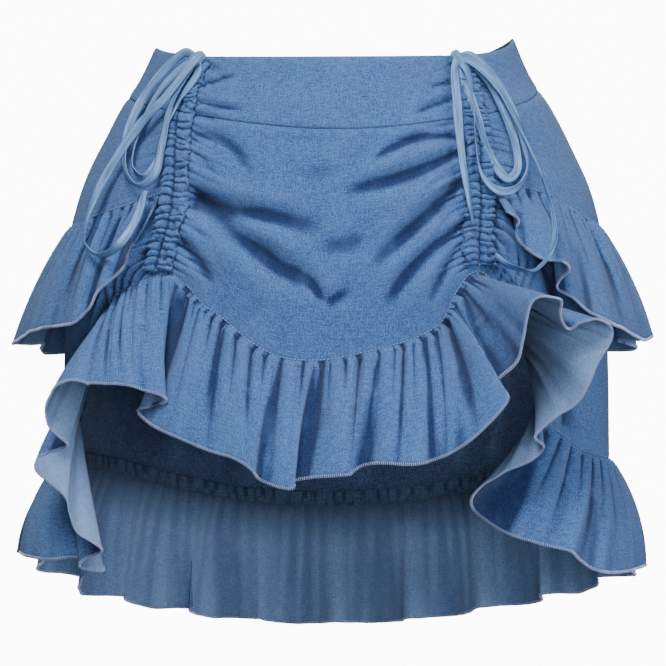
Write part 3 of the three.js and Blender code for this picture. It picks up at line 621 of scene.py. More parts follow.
# Distance between two yarns of the weave, and between two ribs of the satin, in metres
YARN = 0.00052
RIB = 0.00045

# How far stitches lean at random, in radians, and their sizes in metres
STITCH_LEAN = (0.16, 0.16, 0.1)
RING_WIDE = 0.0007
STITCH_WIDE = 0.0003
STITCH_THREAD = 0.0002

# Seam stitches: how far above the seam and off the cloth they lie, and the points along each seam
STITCH_ABOVE = 1.3
STITCH_LIFT = 0.25
STITCH_POINTS = 900

# Seam allowance inside the hem: turns and rise that it covers, each with its number of points, and its inset
ALLOWANCE_TURNS = (40, 320, 620)
ALLOWANCE_RISE = (-4.0, 6.5, 7)
ALLOWANCE_INSET = 2.3

# Grid of a casing, across and down
CASING_GRID = (27, 290)


def smooth(t):
    """Smooth step from 0 to 1."""
    k = np.clip(t, 0.0, 1.0)
    return k * k * (3 - 2 * k)


def taper(t):
    """From 1 down to a long thin end at 0."""
    return np.clip(1.0 - t, 0.0, 1.0) ** 1.4


def mix(a, b, t):
    """Straight blend from a to b."""
    return a + (b - a) * t


def read(rows, key, value, column):
    """Smooth reading of one column of a table between its rows."""
    keys = rows[key]
    cells = rows[column]
    last = len(keys) - 1
    at = np.clip(value, keys[0], keys[-1])
    i = np.clip(np.searchsorted(keys, at, side="left") - 1, 0, last - 1)
    before = np.maximum(np.arange(last + 1) - 1, 0)
    after = np.minimum(np.arange(last + 1) + 1, last)
    slopes = (cells[after] - cells[before]) / (keys[after] - keys[before])
    span = keys[i + 1] - keys[i]
    t = (at - keys[i]) / span
    bend = (t ** 3 - 2 * t * t + t) * slopes[i] + (t ** 3 - t * t) * slopes[i + 1]
    return mix(cells[i], cells[i + 1], smooth(t)) + span * bend


def noise(x, seed):
    """Smooth noise along a line, from -1 to 1, with a new value at each whole number."""
    values = np.random.RandomState(seed).uniform(-1, 1, 1024)
    i = np.floor(x).astype(int)
    return mix(values[i % 1024], values[(i + 1) % 1024], smooth(x - i))


def noise_over(x, y, seed):
    """Smooth noise over a plane, from -1 to 1."""
    values = np.random.RandomState(seed).uniform(-1, 1, (64, 64))
    i = np.floor(x).astype(int)
    j = np.floor(y).astype(int)
    u = smooth(x - i)
    v = smooth(y - j)
    low = mix(values[i % 64, j % 64], values[(i + 1) % 64, j % 64], u)
    high = mix(values[i % 64, (j + 1) % 64], values[(i + 1) % 64, (j + 1) % 64], u)
    return mix(low, high, v)


def between(low, high, x, seed, power=1.0):
    """Noise along a line, spread between two values. A power above 1 keeps most of it near the first."""
    return mix(low, high, ((noise(x, seed) + 1) / 2) ** power)


def unit(vectors):
    """Vectors scaled to length one."""
    return vectors / np.maximum(np.linalg.norm(vectors, axis=-1, keepdims=True), 1e-9)


def wrap_turn(turn):
    """Turn kept within the half round each side that the tables cover."""
    return np.where(turn > 180, turn - 360, turn)


def edge_of(rows, column="z"):
    """Height of an edge at any turn, read from its table."""
    return lambda turn: read(rows, "turn", wrap_turn(turn), column)


waist_top = edge_of(WAIST, "top")
waist_bottom = edge_of(WAIST, "bottom")
upper_seam = edge_of(UPPER_SEAM)
hem_seam = edge_of(HEM_SEAM)

# Each stitched seam, from turn to turn
STITCHED_SEAMS = ((hem_seam, -179.5, 179.5), (upper_seam, 37.0, 318.0))


def body_section(turn, z):
    """Half width and depth of the body at a turn and height."""
    half = read(BODY, "down", -z, "half")
    front = read(BODY, "down", -z, "front")
    back = read(BODY, "down", -z, "back")
    return half, np.where(np.cos(np.radians(turn)) > 0, front, back)


def outward(turn, z):
    """Horizontal outward direction of the body at a turn and height."""
    a = np.radians(turn)
    half, deep = body_section(turn, z)
    flat = np.stack([np.sin(a) / half, -np.cos(a) / deep, np.zeros_like(a * z)], axis=-1)
    return unit(flat)


def fold_distance(fold, x, z):
    """Distance from points to the curve of one row of FRONT_FOLDS, and how far along it they are."""
    steps = 14
    t = np.linspace(0, 1, steps + 1)
    a = 2 * (t - 0.5) * (t - 1)
    b = -4 * t * (t - 1)
    c = 2 * t * (t - 0.5)
    line_x = a * fold["x0"] + b * fold["x1"] + c * fold["x2"]
    line_z = a * fold["z0"] + b * fold["z1"] + c * fold["z2"]
    best = np.full(x.shape, 1e9)
    along = np.zeros(x.shape)
    for i in range(steps):
        dx = line_x[i + 1] - line_x[i]
        dz = line_z[i + 1] - line_z[i]
        k = np.clip(((x - line_x[i]) * dx + (z - line_z[i]) * dz) / (dx * dx + dz * dz), 0, 1)
        far = np.hypot(x - line_x[i] - k * dx, z - line_z[i] - k * dz)
        nearer = far < best
        best = np.where(nearer, far, best)
        along = np.where(nearer, (i + k) / steps, along)
    return best, along


def front_relief(x, z):
    """Depth of the drape folds and creases on the front, with a low ridge beside each."""
    total = np.zeros(x.shape)
    for n in range(len(FRONT_FOLDS["deep"])):
        fold = {name: cells[n] for name, cells in FRONT_FOLDS.items()}
        far, along = fold_distance(fold, x, z)
        strength = smooth((1 - along) * FOLD_END)
        if abs(fold["x0"]) < FREE_FOLD:
            strength = strength * smooth(along * FOLD_END)
        q = far / fold["wide"]
        total += fold["deep"] * strength * (RIDGE * np.exp(-((q / 2) ** 2)) - np.exp(-q * q))
    return total


def casing_turn(side, z):
    """Turn of a casing's middle line at a height."""
    return read(CASINGS, "down", -z, side)


def flap_relief(side, turn, z):
    """Cloth bunched outside the foot of one casing."""
    edge = np.abs(read(FLAPS, "down", -z, side))
    casing = np.abs(casing_turn(side, z))
    beyond = (np.abs(turn) - edge) / FLAP_DROP
    start = smooth((np.abs(turn) - casing - FLAP_CLEAR) / FLAP_START)
    above = smooth((z - hem_seam(turn)) / FLAP_FADE)
    return FLAP_OUT * start * smooth((FLAP_TOP - z) / FLAP_RISE) * above * (1 - smooth(beyond))


def rounded(phase):
    """Row of round ridges with narrow valleys between them, from 0 to 1."""
    return np.abs(np.sin(phase / 2)) ** 0.75


def pucker_phase(side, z):
    """Phase of a casing's puckers at a height: uneven, a little over 5 mm apart."""
    seed = 11 if side == "left" else 12
    uneven = 0.8 * noise(z / 13.0, seed)
    return 2 * math.pi * (z / PUCKER_PITCH + uneven + 0.3 * noise(z / 6.1, seed + 5))


def casing_puckers(turn, z):
    """Short puckers that run out of both edges of each casing into the cloth beside it."""
    total = np.zeros(np.broadcast(turn, z).shape)
    half, _ = body_section(turn, z)
    for side, seed in (("left", 21), ("right", 22)):
        offset = np.radians(turn - casing_turn(side, z)) * half
        inside = offset > 0 if side == "left" else offset < 0
        far = np.maximum(np.abs(offset) - CASING_HALF + 3, 0)
        slant = z + np.where(inside, *PUCKER_SLANT) * far
        phase = pucker_phase(side, slant)
        count = phase / (2 * math.pi)
        reach = between(*PUCKER_REACH, count * 0.9, seed, 1.5) * np.where(inside, 1.0, OUTER_REACH[side])
        zone = smooth((CASING_TOP - z) / 6 + 1) * smooth((z - CASING_FOOT[side]) / 6 + 1.5)
        strength = between(*PUCKER_DEEP, count * 0.8 + 7, seed + 2)
        total += strength * zone * np.exp(-far / reach) * (rounded(phase) - PUCKER_LEVEL) * smooth(far / 2)
    return total


def swirl_relief(side, x, z, turn):
    """Puckers that curl round the foot of one casing, on the bunched cloth."""
    n = 0 if side == "left" else 1
    far = np.hypot(x - SWIRLS["x"][n], z - SWIRLS["z"][n])
    casing = np.abs(casing_turn(side, z))
    edge = np.abs(read(FLAPS, "down", -z, side))
    on_flap = smooth((np.abs(turn) - casing - 2) / 3) * smooth((edge + 3 - np.abs(turn)) / 3)
    ring = smooth((far - 8) / 6) * smooth((46 - far) / 8)
    wander = 0.5 * noise(far / 9 + z / 17, 31 + n)
    phase = 2 * math.pi * (far / SWIRL_PITCH + wander)
    return SWIRL_DEEP * on_flap * ring * (rounded(phase) - PUCKER_LEVEL)


def skin(turn, z, lift=0.0):
    """A point of the body cloth, with its folds, moved out by lift."""
    turn, z = np.broadcast_arrays(np.asarray(turn, float), np.asarray(z, float))
    a = np.radians(turn)
    half, deep = body_section(turn, z)
    x = half * np.sin(a)
    point = np.stack([x, -deep * np.cos(a), z], axis=-1)
    signed = wrap_turn(turn)
    reach = np.abs(signed) < FOLD_REACH
    from_left = smooth((signed - casing_turn("left", z) - FOLD_CLEAR) / FOLD_START)
    from_right = smooth((casing_turn("right", z) - signed - FOLD_CLEAR) / FOLD_START)
    bunched = np.where(signed < 0, flap_relief("left", signed, z), flap_relief("right", signed, z))
    swirl = np.where(signed < 0, swirl_relief("left", x, z, signed), swirl_relief("right", x, z, signed))
    folds = from_left * from_right * front_relief(x, z) + bunched + swirl + casing_puckers(signed, z)
    dents = DENTS[0] * noise_over(x / 29, z / 21, 5) + DENTS[1] * noise_over(x / 13, z / 37, 6)
    away = smooth((np.abs(signed) - DRAPE_FROM) / DRAPE_EASE)
    low = smooth((-40 - z) / 120) * smooth((z - hem_seam(signed)) / 30)
    drape = DRAPE[0] * noise(signed / 11, 7) + DRAPE[1] * noise(signed / 4.3 + z / 60, 8)
    drape = away * low * drape
    relief = np.where(reach, folds, 0.0) + dents + drape
    return point + outward(turn, z) * (relief + lift)[..., None]


def grid_normals(grid, ring=False):
    """Directions across a grid of points, outwards where columns run left to right and rows run down."""
    if ring:
        wide = np.concatenate([grid[-2:-1], grid, grid[1:2]])
    else:
        wide = np.concatenate([grid[:1], grid, grid[-1:]])
    tall = np.concatenate([grid[:, :1], grid, grid[:, -1:]], axis=1)
    along = wide[2:] - wide[:-2]
    down = tall[:, 2:] - tall[:, :-2]
    return unit(np.cross(down, along))


def run_lengths(points):
    """Distance along a line of points, from its first."""
    steps = np.linalg.norm(np.diff(points, axis=0), axis=-1)
    return np.concatenate([[0.0], np.cumsum(steps)])


def stands_above(grid, normals, reach):
    """How far each point stands above the mean of those a few grid steps away, in mm."""
    total = np.zeros_like(grid)
    count = 0
    for shift in (reach, -reach):
        for axis in (0, 1):
            rolled = np.roll(grid, shift, axis=axis)
            edge = slice(0, shift) if shift > 0 else slice(shift, None)
            if axis == 0:
                rolled[edge] = grid[edge]
            else:
                rolled[:, edge] = grid[:, edge]
            total += rolled
            count += 1
    return np.sum((grid - total / count) * normals, axis=-1)


def relief_of(grid, normals, near=3, far=11, deep=BROAD_RELIEF, painted_shade=0.0):
    """Ridges above zero and hollows below it, from narrow creases and broad folds together, lowered by any
    painted shade given for the whole piece.
    """
    narrow = np.tanh(stands_above(grid, normals, near) / NARROW_RELIEF)
    broad = np.tanh(stands_above(grid, normals, far) / deep)
    return np.clip(NARROW_SHARE * narrow + BROAD_SHARE * broad + painted_shade, -1, 1)


def cloth_mesh(name, grid, cloth_u, cloth_v, relief):
    """A grid of points as a mesh in metres, with its weave's UV map and its relief stored."""
    columns, rows = grid.shape[:2]
    mesh = bpy.data.meshes.new(name)
    number = np.arange(columns * rows).reshape(columns, rows)
    quads = np.stack([number[:-1, :-1], number[:-1, 1:], number[1:, 1:], number[1:, :-1]], axis=-1)
    quads = quads.reshape(-1, 4)
    mesh.vertices.add(columns * rows)
    mesh.vertices.foreach_set("co", (grid.reshape(-1, 3) * MM).astype(np.float32).ravel())
    mesh.loops.add(quads.size)
    mesh.loops.foreach_set("vertex_index", quads.ravel().astype(np.int32))
    mesh.polygons.add(len(quads))
    mesh.polygons.foreach_set("loop_start", np.arange(0, quads.size, 4, dtype=np.int32))
    mesh.update(calc_edges=True)
    mesh.polygons.foreach_set("use_smooth", np.ones(len(quads), bool))
    uv = np.stack(np.broadcast_arrays(cloth_u, cloth_v), axis=-1).reshape(-1, 2) * MM
    mesh.uv_layers.new(name="weave").data.foreach_set("uv", uv[quads.ravel()].astype(np.float32).ravel())
    stored = mesh.attributes.new("relief", "FLOAT", "POINT")
    stored.data.foreach_set("value", relief.ravel().astype(np.float32))
    piece = bpy.data.objects.new(name, mesh)
    bpy.context.scene.collection.objects.link(piece)
    return piece


def thicken(piece, label, thickness, offset, reverse=0):
    """Gives a sheet its thickness, with its second material on the reverse and rim where it has one."""
    solid = piece.modifiers.new(label, "SOLIDIFY")
    solid.thickness = thickness
    solid.offset = offset
    solid.material_offset = reverse
    solid.material_offset_rim = reverse


def sheet_piece(name, grid, cloth_u, cloth_v, face, reverse, thickness, node, held, painted_shade=0.0):
    """One piece of cloth: a grid with a face, a reverse and a thickness, in place of its CAD node."""
    normals = grid_normals(grid)
    grid = grid + normals * thickness / 2
    # Gathered pieces have painted shade added to their relief, which darkens their colour
    if held != "gathered":
        relief = relief_of(grid, normals)
    elif node.endswith("_back"):
        relief = relief_of(grid, normals, 3, 9, WAVE_RELIEF, painted_shade)
    else:
        relief = relief_of(grid, normals, 4, 16, BROAD_RELIEF, painted_shade)
    piece = cloth_mesh(name, grid, cloth_u, cloth_v, relief)
    piece.data.materials.append(face)
    piece.data.materials.append(reverse)
    thicken(piece, "cloth thickness", thickness * MM, -1.0, 1)
    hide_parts(node)
    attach(piece, "root")
    return piece


def panel_grid(start, end, top, bottom, columns, rows, lift):
    """Grid of a body panel between two side edges, from its top edge to its bottom edge."""
    s = np.linspace(0, 1, columns + 1)[:, None]
    t = np.linspace(0, 1, rows + 1)[None, :]
    middle = np.array(MIDDLE_HEIGHT)
    turn = mix(start(middle), end(middle), s) + 0 * t
    for _ in range(5):
        z = mix(top(turn), bottom(turn), t)
        turn = mix(start(z), end(z), s)
    grid = skin(turn, z, lift)
    return grid, turn, z


def tucked_top(grid, turn, z):
    """A panel with its top edge carried up behind the piece above it, so that no light shows through."""
    under = skin(turn[:, :1], z[:, :1] + TUCK_UP, -TUCK_IN)
    edge = skin(turn[:, :1], z[:, :1] + TUCK_EDGE, -TUCK_IN)
    return np.concatenate([under, edge, grid], axis=1)


def tucked_sides(grid, normals, reach, inward):
    """A piece with its side edges carried on behind its neighbours, so that its seams are closed."""
    columns = []
    for end, inner in ((0, 2), (-1, -3)):
        on = unit(grid[end] - grid[inner])
        columns.append(grid[end] + on * reach - normals[end] * inward)
    return np.concatenate([columns[0][None], grid, columns[1][None]])


def wider(across, reach):
    """Cloth coordinates of a piece after tucked_sides."""
    return np.concatenate([across[:1] - reach, across, across[-1:] + reach])


def cloth_lengths(grid):
    """Cloth coordinates of a panel: distance along its middle row, and down its middle column."""
    across = run_lengths(grid[:, grid.shape[1] // 2])
    down = run_lengths(grid[grid.shape[0] // 2])
    return across[:, None], down[None, :]


def fixed(turn):
    """A panel edge that stays at one turn."""
    return lambda z: np.full(np.shape(z), float(turn))


def below(edge, gap):
    """An edge moved down."""
    return lambda turn: edge(turn) - gap


def beside(side, gap):
    """The seam down the middle of a casing, moved sideways."""
    return lambda z: casing_turn(side, z) + gap


def dip_edges(grid, down, depth):
    """A panel whose top and bottom edges turn in towards the seams."""
    near = np.minimum(down, down[0, -1] - down)
    return grid - grid_normals(grid) * (depth * np.exp(-((near / DIP_WIDTH) ** 2)))[..., None]


DIP_WIDTH = 1.8
PANEL_SINK = -0.8
LEFT_SIDE = fixed(HALF_GAP - SIDE)
RIGHT_SIDE = fixed(SIDE - HALF_GAP)
BACK_SIDES = (fixed(SIDE + HALF_GAP), fixed(3 * SIDE - HALF_GAP))
UNDER_BAND = below(waist_bottom, LINE_GAP)
UNDER_RUFFLE = below(upper_seam, 2.6)

# Each panel: its two side edges, its top and bottom, its grid, how far it stands off the body, and its cut
PANELS = {
    "waistband_front": (LEFT_SIDE, RIGHT_SIDE, waist_top, waist_bottom, (190, 30), 0.0, (395, 54, 0.9)),
    "waistband_back": (*BACK_SIDES, waist_top, waist_bottom, (110, 18), 0.0, (390, 48, 0.97)),
    "front_panel": (
        beside("left", HALF_GAP), beside("right", -HALF_GAP), UNDER_BAND, hem_seam,
        (184, 134), 0.0, (250, 190, 0.75),
    ),
    "yoke_right": (
        beside("right", HALF_GAP), RIGHT_SIDE, UNDER_BAND, upper_seam,
        (84, 60), 0.0, (130, 90, 0.9),
    ),
    "yoke_left": (
        LEFT_SIDE, beside("left", -HALF_GAP), UNDER_BAND, upper_seam,
        (76, 60), 0.0, (120, 92, 0.9),
    ),
    "yoke_back": (*BACK_SIDES, UNDER_BAND, upper_seam, (120, 36), 0.0, (490, 105, 0.95)),
    "side_panel_right": (
        beside("right", HALF_GAP), RIGHT_SIDE, UNDER_RUFFLE, hem_seam,
        (110, 76), PANEL_SINK, (190, 175, 0.7),
    ),
    "side_panel_left": (
        LEFT_SIDE, beside("left", -HALF_GAP), UNDER_RUFFLE, hem_seam,
        (110, 76), PANEL_SINK, (165, 170, 0.55),
    ),
    "back_panel": (*BACK_SIDES, UNDER_RUFFLE, hem_seam, (120, 60), PANEL_SINK, (545, 195, 0.9)),
}


def body_panel(name, settings):
    """Builds one panel of the body from its row in PANELS."""
    start, end, top, bottom, (columns, rows), lift, cut = PANELS[name]
    grid, turn, z = panel_grid(start, end, top, bottom, columns, rows, lift)
    across, down = cloth_lengths(grid)
    grid = dip_edges(grid, down, settings.seam_dip / MM)
    if "waistband" not in name:
        grid = tucked_top(grid, turn, z)
        down = np.concatenate([[[-TUCK_UP, -TUCK_EDGE]], down], axis=1)
    grid = tucked_sides(grid, grid_normals(grid), SIDE_TUCK, SIDE_IN)
    across = wider(across, SIDE_TUCK)
    # The panel's reverse is painted near black: painted shade inside the body
    return sheet_piece(
        name + "_cloth", grid, across, down,
        material("chambray_face"), material("chambray_inside"),
        settings.thickness / MM, name, "hung",
    )


def sewn_edge(turn, seam):
    """Sewn edge of a ruffle: its points, the outward directions, and the way the cloth leaves the panel."""
    step = 0.25
    z = seam(turn)
    point = skin(turn, z)
    before = skin(turn - step, seam(turn - step))
    after = skin(turn + step, seam(turn + step))
    normal = outward(turn, z)
    leave = unit(np.cross(unit(after - before), normal))
    leave = np.where(leave[..., 2:] > 0, -leave, leave)
    return point + leave * SEAM_GAP, normal, leave


def row_value(rows, place, column):
    """Smooth value of a ruffle's column at places counted in rows."""
    cells = rows[column]
    last = len(cells) - 1
    i = np.minimum(last - 1, np.floor(place).astype(int))
    t = place - i
    p0 = cells[np.maximum(0, i - 1)]
    p1 = cells[i]
    p2 = cells[i + 1]
    p3 = cells[np.minimum(last, i + 2)]
    a = 2 * p1 + (p2 - p0) * t
    b = (2 * p0 - 5 * p1 + 4 * p2 - p3) * t * t
    c = (3 * p1 - p0 - 3 * p2 + p3) * t ** 3
    return (a + b + c) / 2


def rim_at(rows, place):
    """Points of a ruffle's free edge."""
    return np.stack([row_value(rows, place, name) for name in "xyz"], axis=-1)


def join_rows(*parts):
    """Several tables of ruffle rows as one, each going on from the last row of the one before."""
    joined = {}
    for name in RUFFLE_COLUMNS.split():
        joined[name] = np.concatenate([parts[0][name]] + [part[name][1:] for part in parts[1:]])
    return joined


def reversed_rows(rows, add_turn=0.0):
    """A table of ruffle rows from last to first, turned on by some degrees."""
    back = {name: cells[::-1].copy() for name, cells in rows.items()}
    back["turn"] = back["turn"] + add_turn
    return back


def back_rows(kind, seam, first, last):
    """Rows for the waves round the back: regular, with a slow change of size from wave to wave."""
    sizes = BACK_WAVES[kind]
    count = sizes["waves"] * POINTS_PER_WAVE
    n = np.arange(1, count)
    s = n / count
    phase = 2 * math.pi * n / POINTS_PER_WAVE
    ends = smooth(s * END_CALM) * smooth((1 - s) * END_CALM)
    size = ends * (1 + WAVE_CHANGE * np.sin(n * CHANGE_PACE))
    turn = mix(first["turn"], last["turn"], s)
    z = seam(turn)
    normal = outward(turn, z)
    side = np.stack([-normal[:, 1], normal[:, 0], 0 * z], axis=-1)
    point = skin(turn, z)
    point = point + normal * (sizes["flare"] + WAVE_OUT * size * np.cos(phase))[:, None]
    point = point + side * (WAVE_SIDE * size * np.sin(phase))[:, None]
    end_drop = np.where(s < 0.5, seam(first["turn"]) - first["z"], seam(last["turn"]) - last["z"])
    settled = smooth(END_BLEND * np.minimum(s, 1 - s))
    drop = mix(end_drop, sizes["depth"], settled) + WAVE_DROP * np.cos(phase)
    bow = BACK_BOW + BOW_CHANGE * np.cos(phase)
    middle = {"turn": turn, "x": point[:, 0], "y": point[:, 1], "z": z - drop, "bow": bow}
    rows = {}
    for name in RUFFLE_COLUMNS.split():
        rows[name] = np.concatenate([[first[name]], middle[name], [last[name]]])
    return rows


def row_at(rows, i):
    """One row of a table."""
    return {name: cells[i] for name, cells in rows.items()}


def even_places(rows, seam, first_row, last_row, rim_step, seam_step):
    """Places, counted in rows, that split a ruffle so that no step is long at its edge or at its seam."""
    fine = np.linspace(first_row, last_row, (last_row - first_row) * 24 + 1)
    rim = run_lengths(rim_at(rows, fine))
    turn = row_value(rows, fine, "turn")
    sewn = run_lengths(skin(turn, seam(turn)))
    steps = np.maximum(np.diff(rim) / rim_step, np.diff(sewn) / seam_step)
    need = np.concatenate([[0], np.cumsum(steps)])
    count = int(math.ceil(need[-1]))
    return np.interp(np.linspace(0, need[-1], count + 1), need, fine)


def gathers(sewn, fall, length, seed, settings):
    """How far gathers lift the cloth: small ones at the seam, and fewer that run on down the ruffle."""
    small = 2 * math.pi * (sewn / (settings.gather_pitch / MM) + 0.35 * noise(sewn / 19, seed))
    bold_pitch = settings.gather_pitch * BOLD_PITCH / MM
    large = 2 * math.pi * (sewn / bold_pitch + 0.45 * noise(sewn / 29, seed + 1))
    reach_small = between(*SMALL_REACH, sewn / 4.4, seed + 2, 1.4)
    reach_large = between(*BOLD_REACH, sewn / 13, seed + 3) * length
    depth_small = between(*SMALL_DEEP, sewn / 6, seed + 4)
    depth_large = between(*BOLD_DEEP, sewn / 15, seed + 5)
    fine = depth_small * (rounded(small) - 0.65) * smooth(fall / 2 + 0.3) * taper(fall / reach_small)
    bold = depth_large * (rounded(large) - 0.6) * smooth(fall / 9) * taper(fall / reach_large)
    return settings.gather_height * 1000 * (fine + bold)


def crease_relief(creases, turn, sewn, fall):
    """Long creases of a ruffle, from its table."""
    total = np.zeros(np.broadcast(sewn, fall).shape)
    for n in range(len(creases["turn"])):
        place = np.interp(creases["turn"][n], turn, sewn[:, 0])
        half_long = creases["long"][n] / 2
        spread = creases["wide"][n] * (0.6 + 0.7 * fall / half_long)
        across = np.exp(-np.abs((sewn - place) / spread) ** 1.5)
        total += creases["deep"][n] * across * smooth(fall / 3.4) * taper(fall / (2 * half_long))
    return total


def ruffle_grid(rows, seam, place, steps, seed, settings, ring, creases):
    """Grid of a whole ruffle, with its cloth coordinates along the free edge and down the fall."""
    turn = row_value(rows, place, "turn")
    rim = rim_at(rows, place)
    point, normal, leave = sewn_edge(turn, seam)
    neck = point + normal * NECK_OUT + leave * NECK_DOWN
    control = mix(neck, rim, BOW_AT) + normal * row_value(rows, place, "bow")[:, None]
    t = (np.linspace(0, 1, steps + 1) ** FALL_SPACING)[None, :, None]
    falling = (1 - t) ** 2 * neck[:, None] + 2 * t * (1 - t) * control[:, None]
    falling = falling + t * t * rim[:, None]
    tucked = (point - leave * TUCK - normal)[:, None]
    shoulder = mix(tucked, falling[:, :1], SHOULDER_AT) + normal[:, None] * SHOULDER_OUT
    grid = np.concatenate([tucked, shoulder, falling], axis=1)
    across = run_lengths(rim)[:, None]
    sewn = run_lengths(point)[:, None]
    steps_down = np.linalg.norm(np.diff(grid, axis=1), axis=-1)
    fall = np.concatenate([np.zeros((len(grid), 1)), np.cumsum(steps_down, axis=1)], axis=1)
    length = fall[:, -1:]
    normals = grid_normals(grid, ring)
    lift = gathers(sewn, fall, length, seed, settings) * smooth(fall / 1.6)
    lift = lift + crease_relief(creases, turn, sewn, fall)
    near_rim = smooth(fall / length)
    behind = smooth((turn - SIDE) / 12) * smooth((3 * SIDE - turn) / 12)
    slow = mix(*EDGE_SLOW, behind)[:, None]
    wander = EDGE_QUICK * noise(across / 10, seed + 6) + slow * noise(across / 31, seed + 7)
    lift = lift + near_rim * wander
    grid = grid + normals * lift[..., None]
    return grid, across, fall


def join_dip(grid, columns, width=3):
    """Pulls the cloth in a little at a join between two lengths of ruffle."""
    normals = grid_normals(grid)
    number = np.arange(len(grid))
    for at in columns:
        dip = np.exp(-(((number - at) / width) ** 2))
        grid = grid - normals * dip[:, None, None]
    return grid


def trimmed(grid):
    """Draws the two end columns in, so that neighbouring lengths meet with a seam gap."""
    grid = grid.copy()
    for end, inner in ((0, 1), (-1, -2)):
        grid[end] = grid[end] + unit(grid[inner] - grid[end]) * JOIN_GAP / 2
    return grid


# Each length of a ruffle: its longest grid steps along the free edge and along the seam, and its cut
RUFFLES = {
    "hem": {
        "seam": hem_seam,
        "steps": 32,
        "ring": True,
        "seed": 40,
        "creases": HEM_CREASES,
        "lengths": {
            "hem_ruffle_left": ((2.2, 0.8), (360, 95, 0.6)),
            "hem_ruffle_front": ((2.2, 0.66), (500, 95, 0.75)),
            "hem_ruffle_right": ((2.2, 0.8), (500, 90, 0.6)),
            "hem_ruffle_back": ((3.4, 1.3), (830, 105, 0.8)),
        },
    },
    "upper": {
        "seam": upper_seam,
        "steps": 30,
        "ring": False,
        "seed": 60,
        "creases": UPPER_CREASES,
        "lengths": {
            "upper_ruffle_right": ((2.2, 0.74), (262, 88, 0.67)),
            "upper_ruffle_back": ((3.4, 1.3), (765, 98, 0.8)),
            "upper_ruffle_left": ((2.2, 0.74), (200, 90, 0.7)),
        },
    },
}


def ruffle_rows(kind):
    """Rows of a whole ruffle, and the row at which each of its lengths ends."""
    seam = RUFFLES[kind]["seam"]
    if kind == "hem":
        left = reversed_rows(HEM_LEFT)
        first_again = row_at(left, 0)
        first_again["turn"] = first_again["turn"] + 360
        back = back_rows(kind, seam, row_at(HEM_RIGHT, -1), first_again)
        parts = (left, HEM_FRONT, HEM_RIGHT, back)
    else:
        left = reversed_rows(UPPER_LEFT, 360.0)
        back = back_rows(kind, seam, row_at(UPPER_RIGHT, -1), row_at(left, 0))
        parts = (UPPER_RIGHT, back, left)
    ends = np.cumsum([len(part["turn"]) - 1 for part in parts])
    return join_rows(*parts), [int(n) for n in ends]


def build_ruffle(kind, settings):
    """Builds every length of one ruffle, and returns the line of each free edge with its direction."""
    plan = RUFFLES[kind]
    rows, ends = ruffle_rows(kind)
    places = []
    starts = []
    first_row = 0
    for (spacing, _), last_row in zip(plan["lengths"].values(), ends):
        run = even_places(rows, plan["seam"], first_row, last_row, *spacing)
        starts.append(sum(len(part) for part in places))
        places.append(run[:-1])
        first_row = last_row
    places.append(np.array([float(len(rows["turn"]) - 1)]))
    place = np.concatenate(places)
    starts.append(len(place) - 1)
    grid, across, fall = ruffle_grid(
        rows, plan["seam"], place, plan["steps"], plan["seed"], settings, plan["ring"], plan["creases"]
    )
    grid = join_dip(grid, starts)
    rims = {}
    for n, (name, (_, cut)) in enumerate(plan["lengths"].items()):
        part = slice(starts[n], starts[n + 1] + 1)
        piece_grid = trimmed(grid[part])
        normals = grid_normals(piece_grid)
        down = unit(piece_grid[:, -1] - piece_grid[:, -2])
        rims[name] = (piece_grid[:, -1], normals[:, -1], down)
        piece_grid = tucked_sides(piece_grid, normals, SIDE_TUCK, SIDE_IN)
        # The reverse takes painted shade near the seam, reaching further inside the right trumpet
        sheet_piece(
            name + "_cloth", piece_grid, wider(across[part], SIDE_TUCK), wider(fall[part], 0.0),
            material("chambray_face"),
            material("chambray_trumpet" if name == "hem_ruffle_right" else "chambray_reverse"),
            settings.thickness / MM, name, "gathered", RUFFLE_PAINTED_SHADE,
        )
    return rims


def casing_grid(side, settings):
    """Grid of one casing: two channels of puckers with a stitched groove between them."""
    foot = CASING_FOOT[side]
    z = np.linspace(CASING_TOP, foot, CASING_GRID[1])[None, :]
    across = np.linspace(-1, 1, CASING_GRID[0])[:, None]
    half, _ = body_section(np.array(0.0), z)
    channel = np.where(across < 0, -1.0, 1.0)
    place = 2 * np.abs(across) - 1
    bend = PUFF_BEND * channel * (1 - place ** 2) + 1.5 * place * noise(z / 8 + channel * 4, 75)
    phase = pucker_phase(side, z + bend + 1.7 * noise(z / 6 + channel * 5, 71))
    count = phase / (2 * math.pi)
    height = between(*PUFF_HIGH, count * 0.9 + channel * 9, 72)
    uneven = noise(z / 5, 76 + int(side == "left"))
    small = rounded(2 * math.pi * (z / FINE_PITCH + across * 0.8 + uneven))
    pinch = between(*PUFF_PINCH, count * 0.7 + across * 1.7 + channel * 3, 77)
    arch = np.clip(1 - np.abs(place) ** 3, 0, 1) ** 0.7
    puffed = arch * (0.5 + height * pinch * rounded(phase) + 0.5 * small)
    edge_wave = 1.7 * noise(z / 2.7 + channel * 3, 73) * np.abs(across) ** 4
    ends = smooth((CASING_TOP - z) / 5 + 0.35) * smooth((z - foot) / 6 + 0.4)
    width = (CASING_HALF + edge_wave + 1.0 * noise(z / 21, 74)) * (1 + 0.12 * smooth((-140 - z) / 20))
    turn = casing_turn(side, z) + across * width * TURN_PER_SLOPE / half
    groove = settings.groove / MM * np.exp(-((across / GROOVE_HALF) ** 2))
    lift = CASING_LIFT + ends * (puffed - groove) + 0.3 * np.ones_like(across)
    return skin(turn, z + 0 * across, lift)


def build_casings(settings):
    """Builds both casings, and returns the lines of their stitching."""
    lines = {}
    for side in ("left", "right"):
        grid = casing_grid(side, settings)
        across, down = cloth_lengths(grid)
        name = "casing_" + side
        sheet_piece(
            name + "_cloth", grid, across, down * 1.9,
            material("chambray_face"), material("chambray_reverse"),
            settings.thickness / MM, name, "gathered", CASING_PAINTED_SHADE,
        )
        middle = len(grid) // 2
        lift = settings.thickness / MM / 2 + 0.3
        lines[side] = grid[middle] + grid_normals(grid)[middle] * lift
    return lines


